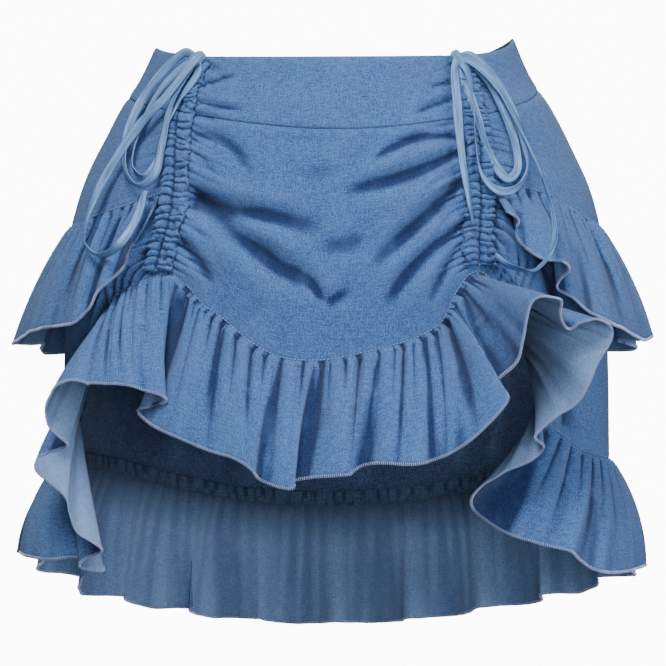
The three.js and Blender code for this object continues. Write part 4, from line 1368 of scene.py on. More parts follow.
def turn_at(x, z):
    """Turn of the body at a sideways place and height."""
    half, _ = body_section(np.array(0.0), z)
    return np.degrees(np.arcsin(np.clip(x / half, -0.995, 0.995)))


def smooth_body(turn, z, lift):
    """A point off the plain body, without its creases."""
    a = np.radians(turn)
    half, deep = body_section(turn, z)
    point = np.stack([half * np.sin(a), -deep * np.cos(a), z], axis=-1)
    side = "left" if turn < 0 else "right"
    relief = flap_relief(side, turn, z) if abs(turn) < FOLD_REACH else 0.0
    return point + outward(turn, z) * (relief + lift)


def in_front(x, z, gap):
    """Point a given distance off the body cloth, at a sideways place and height."""
    across = x
    for _ in range(5):
        point = smooth_body(turn_at(across, np.array(z)), np.array(z), gap)
        across += x - point[0]
    return point


def curve_through(points, extras, step):
    """Smooth curve through points, evenly stepped, with a second list of values carried along it."""
    knots = np.concatenate([[0.0], np.cumsum(np.linalg.norm(np.diff(points, axis=0), axis=-1) ** 0.5)])
    before = 2 * points[0] - points[1]
    after = 2 * points[-1] - points[-2]
    full = np.concatenate([[before], points, [after]])
    marks = np.concatenate([[knots[0] - (knots[1] - knots[0])], knots, [2 * knots[-1] - knots[-2]]])
    fine = np.linspace(knots[0], knots[-1], 400)
    line = []
    for mark in fine:
        i = min(len(points) - 2, max(0, int(np.searchsorted(knots, mark, side="right")) - 1))
        p = full[i:i + 4]
        m = marks[i:i + 4]
        a = [mix(p[k], p[k + 1], (mark - m[k]) / (m[k + 1] - m[k])) for k in range(3)]
        b = [mix(a[k], a[k + 1], (mark - m[k]) / (m[k + 2] - m[k])) for k in range(2)]
        line.append(mix(b[0], b[1], (mark - m[1]) / (m[2] - m[1])))
    line = np.array(line)
    lengths = run_lengths(line)
    count = int(round(lengths[-1] / step))
    even = np.linspace(0, lengths[-1], count + 1)
    path = np.stack([np.interp(even, lengths, line[:, k]) for k in range(3)], axis=-1)
    carried = np.interp(np.interp(even, lengths, fine), knots, extras)
    return path, carried, lengths[-1]


def ribbon_grid(route, knot, ends, settings):
    """Grid of a flat ribbon along its route, with one or both ends carried into its knot."""
    points = [in_front(x, z, gap) for x, z, gap in zip(route["x"], route["z"], route["gap"])]
    twist = [math.radians(angle) for angle in route["twist"]]
    if ends:
        points.insert(0, in_front(*knot, route["gap"][0] - KNOT_SINK))
        twist.insert(0, twist[0])
    if ends == 2:
        points.append(in_front(*knot, route["gap"][-1] - KNOT_SINK))
        twist.append(twist[-1])
    path, twist, length = curve_through(np.array(points), np.array(twist), RIBBON_STEP)
    along = unit(np.gradient(path, axis=0))
    face = np.array([outward(turn_at(p[0], p[2]), p[2]) for p in path])
    side = unit(np.cross(along, face))
    face = unit(np.cross(side, along))
    turned = side * np.cos(twist)[:, None] + face * np.sin(twist)[:, None]
    normal = unit(np.cross(turned, along))
    half = settings.width / MM / 2
    across = np.linspace(-1, 1, RIBBON_POINTS)
    lengths = run_lengths(path)
    bent = settings.cup / MM + CUP_CHANGE * noise(lengths / 17 + path[0, 0], 91)
    cup = bent[:, None] * (1 - across ** 2)[None, :]
    cup = cup + 0.35 * noise(lengths / 9, 92)[:, None] * across[None, :] ** 3
    narrow = 1 - 0.12 * (noise(lengths / 23 + path[0, 2], 93) + 1)
    reach = narrow[:, None] * (across * half)[None, :]
    grid = path[:, None] + turned[:, None] * reach[..., None] + normal[:, None] * cup[..., None]
    return grid, path, length


def build_ribbon(name, route, settings):
    knot = KNOTS["left" if "_left_" in name else "right"]
    grid, path, length = ribbon_grid(route, knot, 1 if "tail" in name else 2, settings)
    normals = grid_normals(grid)
    if np.mean(normals[:, RIBBON_POINTS // 2] @ np.array([0.0, -1.0, 0.0])) < 0:
        grid = grid[:, ::-1]
        normals = grid_normals(grid)
    along = run_lengths(path)[:, None]
    across = run_lengths(grid[0])[None, :]
    piece = cloth_mesh(name + "_satin", grid, across, along, 0 * grid[..., 0])
    piece.data.materials.append(material("ribbon_satin"))
    thicken(piece, "ribbon thickness", settings.thickness, 0.0)
    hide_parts(name)
    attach(piece, "root")
    return piece


def build_knot(side, settings):
    """Builds one knot: a squashed, wrapped lump of ribbon with folds round it."""
    x, z = KNOTS[side]
    centre = in_front(x, z, KNOT_GAP)
    around = np.linspace(0, 2 * math.pi, KNOT_GRID[0])[:, None]
    down = np.linspace(0.03, 0.97, KNOT_GRID[1])[None, :] * math.pi
    folds = 1 + 0.16 * np.abs(np.sin(3 * around + 1.1 * np.cos(down)))
    folds = folds + 0.05 * np.cos(5 * down + around)
    blunt = np.sin(down) ** 0.55
    along = -np.cos(down) * KNOT_HALF[0] * (1 + 0.05 * np.sin(3 * around))
    high = KNOT_HALF[2] * folds * blunt * np.sin(around)
    lean = math.radians(KNOT_LEAN[side] if side == "left" else 180 - KNOT_LEAN[side])
    lump = np.stack([
        along * math.cos(lean) - high * math.sin(lean),
        -KNOT_HALF[1] * folds * blunt * np.cos(around),
        along * math.sin(lean) + high * math.cos(lean),
    ], axis=-1)
    grid = lump + centre
    top = np.repeat(grid[:, :1].mean(axis=0, keepdims=True), len(grid), axis=0)
    foot = np.repeat(grid[:, -1:].mean(axis=0, keepdims=True), len(grid), axis=0)
    grid = np.concatenate([top, grid, foot], axis=1)
    across = np.linspace(0, 24, len(grid))[:, None]
    along = np.linspace(0, 18, grid.shape[1])[None, :]
    piece = cloth_mesh("knot_" + side + "_satin", grid, across, along, 0 * grid[..., 0])
    weld(piece)
    piece.data.materials.append(material("ribbon_satin"))
    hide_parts("knot_" + side)
    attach(piece, "root")
    return piece


def weld(piece):
    """Merges a mesh's doubled points and turns its faces outwards."""
    shape = bmesh.new()
    shape.from_mesh(piece.data)
    bmesh.ops.remove_doubles(shape, verts=shape.verts, dist=1e-6)
    bmesh.ops.recalc_face_normals(shape, faces=shape.faces)
    shape.to_mesh(piece.data)
    shape.free()


def line_object(name, lines):
    """Lines as an edge mesh, each a list of points and the direction that faces out along it."""
    mesh = bpy.data.meshes.new(name)
    points = []
    edges = []
    facing = []
    for line, normals in lines:
        first = len(points)
        points.extend((line * MM).tolist())
        facing.extend(np.asarray(normals).tolist())
        edges.extend((first + i, first + i + 1) for i in range(len(line) - 1))
    mesh.from_pydata(points, edges, [])
    stored = mesh.attributes.new("facing", "FLOAT_VECTOR", "POINT")
    stored.data.foreach_set("vector", np.array(facing, np.float32).ravel())
    piece = bpy.data.objects.new(name, mesh)
    bpy.context.scene.collection.objects.link(piece)
    return piece


def run_nodes(piece, tree, inputs):
    """Runs a geometry node tree over an edge mesh and keeps the result as a plain mesh."""
    modifier = piece.modifiers.new("thread", "NODES")
    modifier.node_group = tree
    for item in tree.interface.items_tree:
        if item.item_type == "SOCKET" and item.in_out == "INPUT" and item.name in inputs:
            modifier[item.identifier] = inputs[item.name]
    bpy.context.view_layer.update()
    evaluated = piece.evaluated_get(bpy.context.evaluated_depsgraph_get())
    made = bpy.data.meshes.new_from_object(evaluated)
    piece.modifiers.remove(modifier)
    piece.data = made
    if len(made.polygons) == 0:
        raise RuntimeError(f"{piece.name}: its node tree made nothing")
    return piece


def feed(node, inputs):
    """Feeds a node's inputs from sockets, or sets them to values."""
    for name, value in inputs.items():
        if isinstance(value, bpy.types.NodeSocket):
            node.id_data.links.new(value, node.inputs[name])
        else:
            node.inputs[name].default_value = value
    return node


def add_node(tree, kind, inputs=(), **options):
    """A new node with its options set and its inputs fed."""
    node = tree.nodes.new(kind)
    for name, value in options.items():
        setattr(node, name, value)
    return feed(node, dict(inputs))


def thread_tree(name, ringed):
    """Node tree that sets small stitches along lines: rings round an edge, or short threads on a surface."""
    tree = bpy.data.node_groups.new(name, "GeometryNodeTree")
    face = tree.interface
    face.new_socket("Geometry", in_out="INPUT", socket_type="NodeSocketGeometry")
    for label, default in (("Pitch", 0.0015), ("Long", 0.0012), ("Wide", 0.0006), ("Thread", 0.0002)):
        face.new_socket(label, in_out="INPUT", socket_type="NodeSocketFloat").default_value = default
    face.new_socket("Seed", in_out="INPUT", socket_type="NodeSocketInt").default_value = 7
    face.new_socket("Finish", in_out="INPUT", socket_type="NodeSocketMaterial")
    face.new_socket("Geometry", in_out="OUTPUT", socket_type="NodeSocketGeometry")
    given = add_node(tree, "NodeGroupInput").outputs
    curve = add_node(tree, "GeometryNodeMeshToCurve", {"Mesh": given["Geometry"]}).outputs["Curve"]
    spaced = add_node(
        tree, "GeometryNodeResampleCurve", {"Curve": curve, "Length": given["Pitch"]}, mode="LENGTH",
    )
    along = add_node(tree, "GeometryNodeInputTangent").outputs["Tangent"]
    facing = add_node(tree, "GeometryNodeInputNamedAttribute", {"Name": "facing"}, data_type="FLOAT_VECTOR")
    first = add_node(
        tree, "FunctionNodeAlignRotationToVector", {"Vector": along}, axis="Z" if ringed else "X",
    )
    second = add_node(
        tree, "FunctionNodeAlignRotationToVector",
        {"Rotation": first.outputs["Rotation"], "Vector": facing.outputs["Attribute"]},
        axis="Y" if ringed else "Z", pivot_axis="Z" if ringed else "X",
    )
    if ringed:
        shape = add_node(tree, "GeometryNodeCurvePrimitiveCircle", {"Resolution": 7, "Radius": 1.0})
        plain = shape.outputs["Curve"]
    else:
        shape = add_node(tree, "GeometryNodeMeshUVSphere", {"Segments": 6, "Rings": 4, "Radius": 1.0})
        plain = shape.outputs["Mesh"]
    size = add_node(
        tree, "ShaderNodeCombineXYZ",
        {"X": given["Long"], "Y": given["Wide"], "Z": 1.0 if ringed else given["Thread"]},
    )
    shaped = add_node(tree, "GeometryNodeTransform", {"Geometry": plain, "Scale": size.outputs["Vector"]})
    stitch = shaped.outputs["Geometry"]
    if ringed:
        profile = add_node(
            tree, "GeometryNodeCurvePrimitiveCircle", {"Resolution": 3, "Radius": given["Thread"]},
        )
        solid = add_node(
            tree, "GeometryNodeCurveToMesh", {"Curve": stitch, "Profile Curve": profile.outputs["Curve"]},
        )
        stitch = solid.outputs["Mesh"]
    lean = add_node(
        tree, "FunctionNodeRandomValue",
        {"Min": tuple(-angle for angle in STITCH_LEAN), "Max": STITCH_LEAN, "Seed": given["Seed"]},
        data_type="FLOAT_VECTOR",
    )
    turn = add_node(tree, "FunctionNodeEulerToRotation", {"Euler": lean.outputs["Value"]})
    leaning = add_node(
        tree, "FunctionNodeRotateRotation",
        {"Rotation": second.outputs["Rotation"], "Rotate By": turn.outputs["Rotation"]},
        rotation_space="LOCAL",
    )
    placed = add_node(
        tree, "GeometryNodeInstanceOnPoints",
        {"Points": spaced.outputs["Curve"], "Instance": stitch, "Rotation": leaning.outputs["Rotation"]},
    )
    real = add_node(tree, "GeometryNodeRealizeInstances", {"Geometry": placed.outputs["Instances"]})
    shade = add_node(tree, "GeometryNodeSetShadeSmooth", {"Geometry": real.outputs["Geometry"]})
    finish = add_node(
        tree, "GeometryNodeSetMaterial", {"Geometry": shade.outputs["Geometry"], "Material": given["Finish"]},
    )
    add_node(tree, "NodeGroupOutput", {"Geometry": finish.outputs["Geometry"]})
    return tree


def tree_named(name, ringed):
    """The stitch tree of that name, made the first time it is asked for."""
    return bpy.data.node_groups.get(name) or thread_tree(name, ringed)


# Lines that the ruffles and casings leave for the sewing that follows them
sewing = {"rims": {}, "casings": {}}


def length_setting(name, description, default, low, high):
    """A length in metres for the sidebar."""
    return bpy.props.FloatProperty(
        name=name, description=description, default=default, min=low, max=high, unit="LENGTH", precision=5,
    )


def colour_setting(name, description, default):
    """A colour for the sidebar."""
    return bpy.props.FloatVectorProperty(
        name=name, description=description, default=default, min=0.0, max=1.0, subtype="COLOR", size=3,
    )


class SkirtCloth(bpy.types.PropertyGroup):
    """Sizes of the cloth and its gathers"""

    thickness: length_setting("Cloth thickness", "Thickness of one layer of chambray", 0.0008, 0.0003, 0.002)
    seam_dip: length_setting("Seam dip", "How far a panel's edge turns in to its seam", 0.0008, 0.0, 0.002)
    groove: length_setting("Casing groove", "Depth of the groove down each casing", 0.0016, 0.0, 0.004)
    gather_pitch: length_setting("Gather pitch", "Distance between two gathers", 0.0039, 0.002, 0.02)
    gather_height: length_setting("Gather height", "How far the gathers stand up", 0.001, 0.0, 0.004)


class SkirtThread(bpy.types.PropertyGroup):
    """Sizes of the overlocking and stitching"""

    overlock_pitch: length_setting(
        "Overlock pitch", "Distance between two threads round the free edge", 0.0014, 0.0008, 0.005,
    )
    overlock_reach: length_setting(
        "Overlock reach", "How far the overlock threads reach in from the edge", 0.0012, 0.0004, 0.004,
    )
    overlock_thread: length_setting("Overlock thread", "Radius of an overlock thread", 0.0003, 0.0001, 0.001)
    stitch_pitch: length_setting("Stitch pitch", "Distance between two stitches", 0.0026, 0.001, 0.006)
    stitch_length: length_setting(
        "Stitch length", "Length of the thread that shows in a stitch", 0.0019, 0.0005, 0.005,
    )


class SkirtRibbon(bpy.types.PropertyGroup):
    """Sizes of the satin ribbon"""

    width: length_setting("Ribbon width", "Width of the drawstring ribbon", 0.007, 0.003, 0.015)
    thickness: length_setting("Ribbon thickness", "Thickness of the ribbon", 0.0004, 0.0002, 0.001)
    cup: length_setting("Ribbon cup", "How far its middle stands over its edges", 0.0003, -0.002, 0.002)


class SkirtColours(bpy.types.PropertyGroup):
    """Colours of the cloth, thread, ribbon and floor"""

    warp: colour_setting("Warp", "Blue yarn of the face", (0.014, 0.056, 0.215))
    weft: colour_setting("Weft", "Pale yarn that shows between the blue", (0.120, 0.250, 0.540))
    reverse: colour_setting("Reverse", "Yarn of the reverse side", (0.110, 0.205, 0.430))
    reverse_pale: colour_setting("Reverse Weft", "Pale yarn of the reverse side", (0.27, 0.43, 0.74))
    # Painted shade: this near-black colour stands in for the shade inside the body, on the panels' reverse
    # and the hem allowance
    inside: colour_setting(
        "Inside", "Cloth inside the body, which the light hardly reaches", (0.020, 0.032, 0.060),
    )
    overlock: colour_setting("Overlock", "Thread of the overlocked edges", (0.42, 0.48, 0.78))
    thread: colour_setting("Thread", "Thread of the seams", (0.24, 0.38, 0.66))
    satin: colour_setting("Satin", "Blue of the ribbon", (0.125, 0.255, 0.500))
    floor: colour_setting("Floor", "Pale floor", (0.92, 0.92, 0.92))


def new_group(name, inputs, outputs):
    """An empty shader node group with named float, vector and colour sockets."""
    group = bpy.data.node_groups.new(name, "ShaderNodeTree")
    for label, kind, default in inputs:
        socket = group.interface.new_socket(label, in_out="INPUT", socket_type=kind)
        if default is not None:
            socket.default_value = default
    for label, kind in outputs:
        group.interface.new_socket(label, in_out="OUTPUT", socket_type=kind)
    return group, group.nodes.new("NodeGroupInput"), group.nodes.new("NodeGroupOutput")


def math_node(tree, operation, a, b=None, clamp=False):
    """A math node whose two inputs are sockets or numbers."""
    node = tree.nodes.new("ShaderNodeMath")
    node.operation = operation
    node.use_clamp = clamp
    for socket, value in zip(node.inputs, (a, b)):
        if value is None:
            continue
        if isinstance(value, (int, float)):
            socket.default_value = value
        else:
            tree.links.new(value, socket)
    return node.outputs[0]


def colour_mix(tree, share, a, b, blend="MIX"):
    """A colour mix whose share and colours are sockets or values."""
    node = tree.nodes.new("ShaderNodeMix")
    node.data_type = "RGBA"
    node.blend_type = blend
    for socket, value in ((node.inputs[0], share), (node.inputs[6], a), (node.inputs[7], b)):
        if isinstance(value, (int, float)):
            socket.default_value = value
        elif isinstance(value, (tuple, list)):
            socket.default_value = (*value, 1.0)[:4]
        else:
            tree.links.new(value, socket)
    return node.outputs[2]


def stretched_noise(tree, vector, along, across, detail=2.0):
    """Noise drawn out along one direction, as slubs in a yarn are."""
    mapping = add_node(tree, "ShaderNodeMapping", {"Scale": (along, across, 1.0), "Vector": vector})
    texture = add_node(
        tree, "ShaderNodeTexNoise", {"Scale": 1.0, "Detail": detail, "Vector": mapping.outputs["Vector"]},
    )
    return texture.outputs["Fac"]


def bands(tree, vector, axis, pitch):
    """Fine bands across a vector, one for each yarn, as a height from 0 to 1."""
    wave = add_node(
        tree, "ShaderNodeTexWave", {"Scale": 2 * math.pi / 20 / pitch, "Vector": vector},
        wave_type="BANDS", bands_direction=axis,
    )
    return wave.outputs["Fac"]


def sum_of(tree, a, a_share, b, b_share):
    """Two sockets added, each by its share."""
    return math_node(
        tree, "ADD", math_node(tree, "MULTIPLY", a, a_share), math_node(tree, "MULTIPLY", b, b_share),
    )


def above(tree, value, floor, gain):
    """What a socket has above a floor, times a gain, kept from 0 to 1."""
    return math_node(tree, "MULTIPLY", math_node(tree, "SUBTRACT", value, floor), gain, clamp=True)


def weave_group():
    """Plain weave of two yarns: where the pale yarn shows, and how high the cloth stands."""
    made = bpy.data.node_groups.get("chambray_weave")
    if made:
        return made
    group, given, out = new_group(
        "chambray_weave",
        [("Vector", "NodeSocketVector", None), ("Slub", "NodeSocketFloat", 0.5)],
        [("Pale", "NodeSocketFloat"), ("Height", "NodeSocketFloat"), ("Cloud", "NodeSocketFloat")],
    )
    vector = given.outputs["Vector"]
    warp = bands(group, vector, "X", YARN)
    weft = bands(group, vector, "Y", YARN)
    over = math_node(group, "ABSOLUTE", math_node(group, "SUBTRACT", warp, weft))
    slub_down = stretched_noise(group, vector, 950.0, 150.0)
    slub_across = stretched_noise(group, vector, 150.0, 900.0)
    fleck = stretched_noise(group, vector, 1050.0, 900.0)
    slubs = above(group, math_node(group, "MAXIMUM", slub_down, slub_across), 0.46, 4.2)
    flecks = above(group, fleck, 0.48, 8.0)
    shown = math_node(group, "MULTIPLY", sum_of(group, slubs, 0.55, flecks, 0.6), given.outputs["Slub"])
    pale = math_node(group, "ADD", math_node(group, "MULTIPLY", over, 0.28), shown, clamp=True)
    cloud = stretched_noise(group, vector, 42.0, 26.0, 4.0)
    feed(out, {"Pale": pale, "Height": sum_of(group, over, 0.5, slubs, 0.7), "Cloud": cloud})
    return group


def new_material(name):
    """An empty node material with its Principled shader and output linked."""
    made = bpy.data.materials.new(name)
    made.use_nodes = True
    tree = made.node_tree
    tree.nodes.clear()
    shader = tree.nodes.new("ShaderNodeBsdfPrincipled")
    out = tree.nodes.new("ShaderNodeOutputMaterial")
    tree.links.new(shader.outputs["BSDF"], out.inputs["Surface"])
    return made, tree, shader


def bump(tree, shader, height, distance, strength):
    """Surface bump from a height socket."""
    node = add_node(tree, "ShaderNodeBump", {"Distance": distance, "Strength": strength, "Height": height})
    feed(shader, {"Normal": node.outputs["Normal"]})


def chambray(name, base, pale, wear, side, depth=0.0, paleness=1.0):
    """Chambray cloth: blue and pale yarns, washed lighter on ridges by wear, and darker in creases by painted
    shade.

    A side above zero is the face. Below zero it is the reverse, where a ridge of the face is a crease.
    With a depth, shade is also painted from the sewn edge: the cloth is dimmer from there down to that far
    along it, as inside a fold.
    """
    pale = tuple(c * paleness for c in pale)
    made, tree, shader = new_material(name)
    uv = add_node(tree, "ShaderNodeUVMap", uv_map="weave").outputs["UV"]
    weave = add_node(tree, "ShaderNodeGroup", {"Vector": uv, "Slub": 1.0}, node_tree=weave_group())
    relief = add_node(tree, "ShaderNodeAttribute", attribute_name="relief")
    ridge = math_node(tree, "MULTIPLY", relief.outputs["Fac"], side)
    washed = math_node(tree, "MULTIPLY", math_node(tree, "MAXIMUM", ridge, 0.0), wear)
    shown = math_node(tree, "ADD", weave.outputs["Pale"], washed, clamp=True)
    yarns = colour_mix(tree, math_node(tree, "MULTIPLY", shown, 0.8), base, pale)
    # Painted shade: where the relief is a hollow, the yarn colour is darkened towards a dark blue-grey
    deep = colour_mix(tree, 1.0, yarns, (0.14, 0.20, 0.30), "MULTIPLY")
    valley = math_node(tree, "MAXIMUM", math_node(tree, "MULTIPLY", ridge, -1.0), 0.0)
    shaded = colour_mix(tree, valley, yarns, deep)
    colour = colour_mix(tree, above(tree, weave.outputs["Cloud"], 0.5, 0.8), shaded, pale)
    # Painted shade: a reverse is darkened near its sewn edge, fading out along the cloth
    if depth:
        along = add_node(tree, "ShaderNodeSeparateXYZ", {0: uv}).outputs["Y"]
        out = math_node(tree, "DIVIDE", along, depth, clamp=True)
        dim = math_node(tree, "MULTIPLY", math_node(tree, "SUBTRACT", 1.0, out), DEEP_SHADE)
        colour = colour_mix(tree, dim, colour, tuple(c * 0.08 for c in base))
    feed(shader, {
        "Base Color": colour,
        "Roughness": 0.92,
        "Specular IOR Level": 0.15,
        "Sheen Weight": 0.12,
        "Sheen Roughness": 0.6,
    })
    bump(tree, shader, weave.outputs["Height"], 0.00022, 0.9)
    return made


def satin(name, colour):
    """Satin ribbon: glossy along its length, with fine ribs across it, and painted sheen and painted shade
    streaked along it.
    """
    made, tree, shader = new_material(name)
    uv = add_node(tree, "ShaderNodeUVMap", uv_map="weave").outputs["UV"]
    ribs = bands(tree, uv, "Y", RIB)
    streaks = stretched_noise(tree, uv, 1100.0, 22.0)
    soft = stretched_noise(tree, uv, 260.0, 36.0)
    # Painted sheen: lengthwise streaks mix the colour from a painted-shade dark copy to a painted-highlight
    # pale copy
    painted_sheen = above(tree, sum_of(tree, streaks, 0.9, soft, 0.9), 0.62, 1.7)
    pale = tuple(min(1.0, c * 1.75) for c in colour)
    dark = tuple(c * 0.4 for c in colour)
    feed(shader, {
        "Base Color": colour_mix(tree, painted_sheen, dark, pale),
        "Roughness": 0.38,
        "Specular IOR Level": 0.4,
        "Anisotropic": 0.5,
    })
    height = math_node(tree, "ADD", math_node(tree, "MULTIPLY", ribs, 0.5), streaks)
    bump(tree, shader, height, 0.00012, 0.6)
    return made


def thread(name, colour):
    """Spun thread: slightly uneven colour and a soft twist."""
    made, tree, shader = new_material(name)
    place = add_node(tree, "ShaderNodeTexCoord").outputs["Object"]
    fibre = stretched_noise(tree, place, 2600.0, 2600.0)
    pale = tuple(min(1.0, c * 1.3 + 0.03) for c in colour)
    dark = tuple(c * 0.7 for c in colour)
    feed(shader, {
        "Base Color": colour_mix(tree, fibre, dark, pale),
        "Roughness": 0.7,
        "Specular IOR Level": 0.3,
    })
    bump(tree, shader, fibre, 0.00015, 0.8)
    return made


def plain_floor(name, colour):
    """Pale matt floor with a faint mottling, which glows to the camera alone."""
    made, tree, shader = new_material(name)
    place = add_node(tree, "ShaderNodeTexCoord").outputs["Object"]
    mottle = stretched_noise(tree, place, 3.0, 3.0, 3.0)
    seen = add_node(tree, "ShaderNodeLightPath").outputs["Is Camera Ray"]
    feed(shader, {
        "Base Color": (0.25, 0.25, 0.25, 1.0),
        "Roughness": 0.95,
        "Specular IOR Level": 0.1,
        "Emission Color": colour_mix(tree, mottle, tuple(c * 0.98 for c in colour), colour),
        "Emission Strength": math_node(tree, "MULTIPLY", seen, FLOOR_GLOW),
    })
    return made


# Each finish: what makes it, the colours that it takes from the sidebar, and its other values
FINISHES = {
    "chambray_face": (chambray, ("warp", "weft"), (0.16, 1.0)),
    # Painted shade: the reverse finishes of the ruffles are dimmed near their seam
    "chambray_reverse": (chambray, ("reverse", "reverse_pale"), (0.2, -0.55, DEEP_REACH)),
    "chambray_trumpet": (chambray, ("reverse", "reverse_pale"), (0.2, -0.55, TRUMPET_REACH)),
    # Painted shade: the inside and allowance finishes are near black, standing in for the shade inside the
    # body
    "chambray_inside": (chambray, ("inside", "reverse"), (0.1, -0.4)),
    "chambray_allowance": (chambray, ("inside", "reverse"), (0.1, -0.8, 0.0, 0.7)),
    "ribbon_satin": (satin, ("satin",), ()),
    "overlock_thread": (thread, ("overlock",), ()),
    "seam_thread": (thread, ("thread",), ()),
    "pale_floor": (plain_floor, ("floor",), ()),
}


def material(name):
    """A finish by name, made the first time it is asked for."""
    made = bpy.data.materials.get(name)
    if made:
        return made
    maker, colours, values = FINISHES[name]
    settings = bpy.context.scene.skirt_colours
    return maker(name, *(tuple(getattr(settings, colour)) for colour in colours), *values)


class SKIRT_OT_ribbons(bpy.types.Operator):
    """Builds the two satin bows: knots, loops and tails"""

    bl_idname = "skirt.ribbons"
    bl_label = "Satin Bows"

    def execute(self, context):
        settings = context.scene.skirt_ribbon
        knots = {side: build_knot(side, settings) for side in KNOTS}
        for name, route in RIBBONS.items():
            build_ribbon(name, route, settings)
        return {"FINISHED"}


class SKIRT_OT_panels(bpy.types.Operator):
    """Builds the waistband, the front panel, the yokes, the side panels and the back panel"""

    bl_idname = "skirt.panels"
    bl_label = "Waistband and Panels"

    def execute(self, context):
        for name in PANELS:
            body_panel(name, context.scene.skirt_cloth)
        return {"FINISHED"}


class SKIRT_OT_casings(bpy.types.Operator):
    """Builds the two ruched drawstring casings"""

    bl_idname = "skirt.casings"
    bl_label = "Drawstring Casings"

    def execute(self, context):
        sewing["casings"] = build_casings(context.scene.skirt_cloth)
        return {"FINISHED"}


class SKIRT_OT_upper_ruffle(bpy.types.Operator):
    """Builds the upper ruffle round the sides and back"""

    bl_idname = "skirt.upper_ruffle"
    bl_label = "Upper Ruffle"

    def execute(self, context):
        sewing["rims"].update(build_ruffle("upper", context.scene.skirt_cloth))
        return {"FINISHED"}


class SKIRT_OT_hem_ruffle(bpy.types.Operator):
    """Builds the hem ruffle all round, with its cascades"""

    bl_idname = "skirt.hem_ruffle"
    bl_label = "Hem Ruffle"

    def execute(self, context):
        sewing["rims"].update(build_ruffle("hem", context.scene.skirt_cloth))
        return {"FINISHED"}


class SKIRT_OT_allowance(bpy.types.Operator):
    """Builds the gathered seam allowance inside the hem seam"""

    bl_idname = "skirt.allowance"
    bl_label = "Seam Allowance"

    def execute(self, context):
        settings = context.scene.skirt_cloth
        turn = np.linspace(*ALLOWANCE_TURNS)[:, None]
        up = np.linspace(*ALLOWANCE_RISE)[None, :]
        z = hem_seam(turn) + up + 0.7 * noise(turn * 0.9, 83)
        wave = 1.1 * noise(turn * 1.35, 81) * smooth((up + 2) / 6) + 0.6 * noise(turn * 2.3, 82)
        grid = skin(turn + 0 * up, z, wave - ALLOWANCE_INSET)[:, ::-1]
        across = run_lengths(grid[:, 0])[:, None]
        down = run_lengths(grid[0])[None, :]
        normals = grid_normals(grid)
        piece = cloth_mesh("hem_seam_allowance", grid, across, down, relief_of(grid, normals))
        # Painted shade: the allowance is painted near black with its pale yarn dimmed, as it lies in shade
        # inside the hem
        piece.data.materials.append(material("chambray_allowance"))
        thicken(piece, "cloth thickness", settings.thickness, 0.0)
        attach(piece, "root")
        return {"FINISHED"}


class SKIRT_OT_overlock(bpy.types.Operator):
    """Wraps thread round every free edge of the ruffles"""

    bl_idname = "skirt.overlock"
    bl_label = "Overlocked Edges"

    def execute(self, context):
        settings = context.scene.skirt_thread
        if not sewing["rims"]:
            raise RuntimeError("build the ruffles before their edges")
        inputs = {
            "Pitch": settings.overlock_pitch,
            "Long": settings.overlock_reach,
            "Wide": RING_WIDE,
            "Thread": settings.overlock_thread,
            "Seed": 7,
            "Finish": material("overlock_thread"),
        }
        for name, (line, normals, down) in sewing["rims"].items():
            centre = line - down * (settings.overlock_reach / MM * 0.75)
            piece = line_object(name + "_overlock", [(centre, normals)])
            run_nodes(piece, tree_named("overlock_stitches", True), inputs)
            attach(piece, "root")
        return {"FINISHED"}


class SKIRT_OT_stitches(bpy.types.Operator):
    """Sews the casings' stitch lines and the seams above both ruffles"""

    bl_idname = "skirt.stitches"
    bl_label = "Seam Stitches"

    def execute(self, context):
        settings = context.scene.skirt_thread
        lift = context.scene.skirt_cloth.thickness / MM / 2 + STITCH_LIFT
        lines = []
        for line in sewing["casings"].values():
            lines.append((line, np.tile([0.0, -1.0, 0.0], (len(line), 1))))
        for seam, start, end in STITCHED_SEAMS:
            turn = np.linspace(start, end, STITCH_POINTS)
            line = skin(turn, seam(turn) + STITCH_ABOVE, lift)
            lines.append((line, outward(turn, seam(turn))))
        piece = line_object("seam_stitches", lines)
        inputs = {
            "Pitch": settings.stitch_pitch,
            "Long": settings.stitch_length / 2,
            "Wide": STITCH_WIDE,
            "Thread": STITCH_THREAD,
            "Seed": 9,
            "Finish": material("seam_thread"),
        }
        run_nodes(piece, tree_named("seam_stitches_run", False), inputs)
        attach(piece, "root")
        return {"FINISHED"}


def area_light(name, place, aim, size, power, colour):
    """A soft square light that faces a point."""
    lamp = bpy.data.lights.new(name, "AREA")
    lamp.shape = "SQUARE"
    lamp.size = size
    lamp.energy = power
    lamp.color = colour
    holder = bpy.data.objects.new(name, lamp)
    holder.location = place
    holder.rotation_euler = (Vector(aim) - Vector(place)).to_track_quat("-Z", "Y").to_euler()
    bpy.context.scene.collection.objects.link(holder)


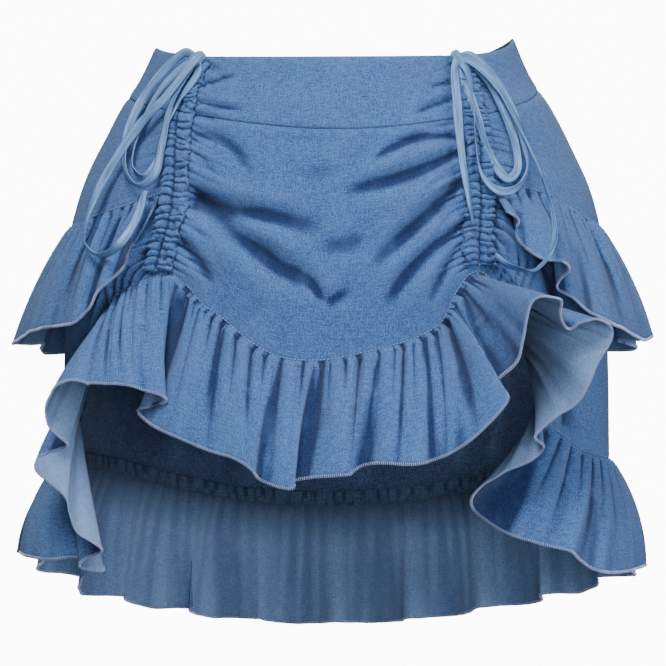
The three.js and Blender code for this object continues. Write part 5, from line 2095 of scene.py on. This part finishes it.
class SKIRT_OT_stage(bpy.types.Operator):
    """Sets the camera, the soft studio lights and the pale floor"""

    bl_idname = "skirt.stage"
    bl_label = "Camera, Lights and Floor"

    def execute(self, context):
        scene = context.scene
        lens = bpy.data.cameras.new("photo_camera")
        lens.sensor_width = SENSOR
        lens.lens = SENSOR * -CAMERA_AT[1] / VIEW_WIDTH
        lens.clip_end = 30.0
        camera = bpy.data.objects.new("photo_camera", lens)
        camera.location = Vector(CAMERA_AT) * MM
        camera.rotation_euler = (math.pi / 2, 0.0, 0.0)
        scene.collection.objects.link(camera)
        scene.camera = camera
        floor = bpy.data.meshes.new("floor")
        angles = np.linspace(0, 2 * math.pi, FLOOR_SIDES + 1)[:-1]
        ring = [(FLOOR_RADIUS * math.cos(a), FLOOR_RADIUS * math.sin(a), FLOOR_HEIGHT) for a in angles]
        floor.from_pydata(ring, [], [list(range(FLOOR_SIDES))])
        stand = bpy.data.objects.new("floor", floor)
        stand.data.materials.append(material("pale_floor"))
        scene.collection.objects.link(stand)
        for name, values in LIGHTS.items():
            area_light(name, *values)
        world = bpy.data.worlds.new("studio")
        world.use_nodes = True
        scene.world = world
        tree = world.node_tree
        white = (1.0, 1.0, 1.0, 1.0)
        sky = feed(tree.nodes["Background"], {"Color": white, "Strength": WORLD_LIGHT})
        bright = add_node(tree, "ShaderNodeBackground", {"Color": white, "Strength": WORLD_SEEN})
        seen = add_node(tree, "ShaderNodeLightPath").outputs["Is Camera Ray"]
        both = add_node(
            tree, "ShaderNodeMixShader",
            {0: seen, 1: sky.outputs["Background"], 2: bright.outputs["Background"]},
        )
        feed(tree.nodes["World Output"], {"Surface": both.outputs["Shader"]})
        return {"FINISHED"}


OPERATORS = (
    SKIRT_OT_stage,
    SKIRT_OT_ribbons,
    SKIRT_OT_panels,
    SKIRT_OT_casings,
    SKIRT_OT_upper_ruffle,
    SKIRT_OT_hem_ruffle,
    SKIRT_OT_allowance,
    SKIRT_OT_overlock,
    SKIRT_OT_stitches,
)


class SKIRT_PT_sidebar(bpy.types.Panel):
    """Lists the skirt's sizes, colours and pieces"""

    bl_idname = "SKIRT_PT_sidebar"
    bl_label = "Bustle Skirt"
    bl_space_type = "VIEW_3D"
    bl_region_type = "UI"
    bl_category = "Skirt"

    def draw(self, context):
        for group in (
            context.scene.skirt_cloth,
            context.scene.skirt_thread,
            context.scene.skirt_ribbon,
            context.scene.skirt_colours,
        ):
            column = self.layout.column()
            for name in group.__annotations__:
                column.prop(group, name)
        for operator in OPERATORS:
            self.layout.operator(operator.bl_idname)


CLASSES = (SkirtCloth, SkirtThread, SkirtRibbon, SkirtColours, *OPERATORS, SKIRT_PT_sidebar)
SETTINGS = {
    "skirt_cloth": SkirtCloth,
    "skirt_thread": SkirtThread,
    "skirt_ribbon": SkirtRibbon,
    "skirt_colours": SkirtColours,
}


def register():
    """Adds the classes and the settings to Blender."""
    for cls in CLASSES:
        bpy.utils.register_class(cls)
    for name, group in SETTINGS.items():
        setattr(bpy.types.Scene, name, bpy.props.PointerProperty(type=group))


def unregister():
    """Takes them out again."""
    for name in SETTINGS:
        delattr(bpy.types.Scene, name)
    for cls in reversed(CLASSES):
        bpy.utils.unregister_class(cls)


def main():
    """Builds the whole scene."""
    register()
    bpy.ops.skirt.stage()
    bpy.ops.skirt.ribbons()
    bpy.ops.skirt.panels()
    bpy.ops.skirt.casings()
    bpy.ops.skirt.upper_ruffle()
    bpy.ops.skirt.hem_ruffle()
    bpy.ops.skirt.allowance()
    bpy.ops.skirt.overlock()
    bpy.ops.skirt.stitches()


if __name__ == "__main__":
    main()
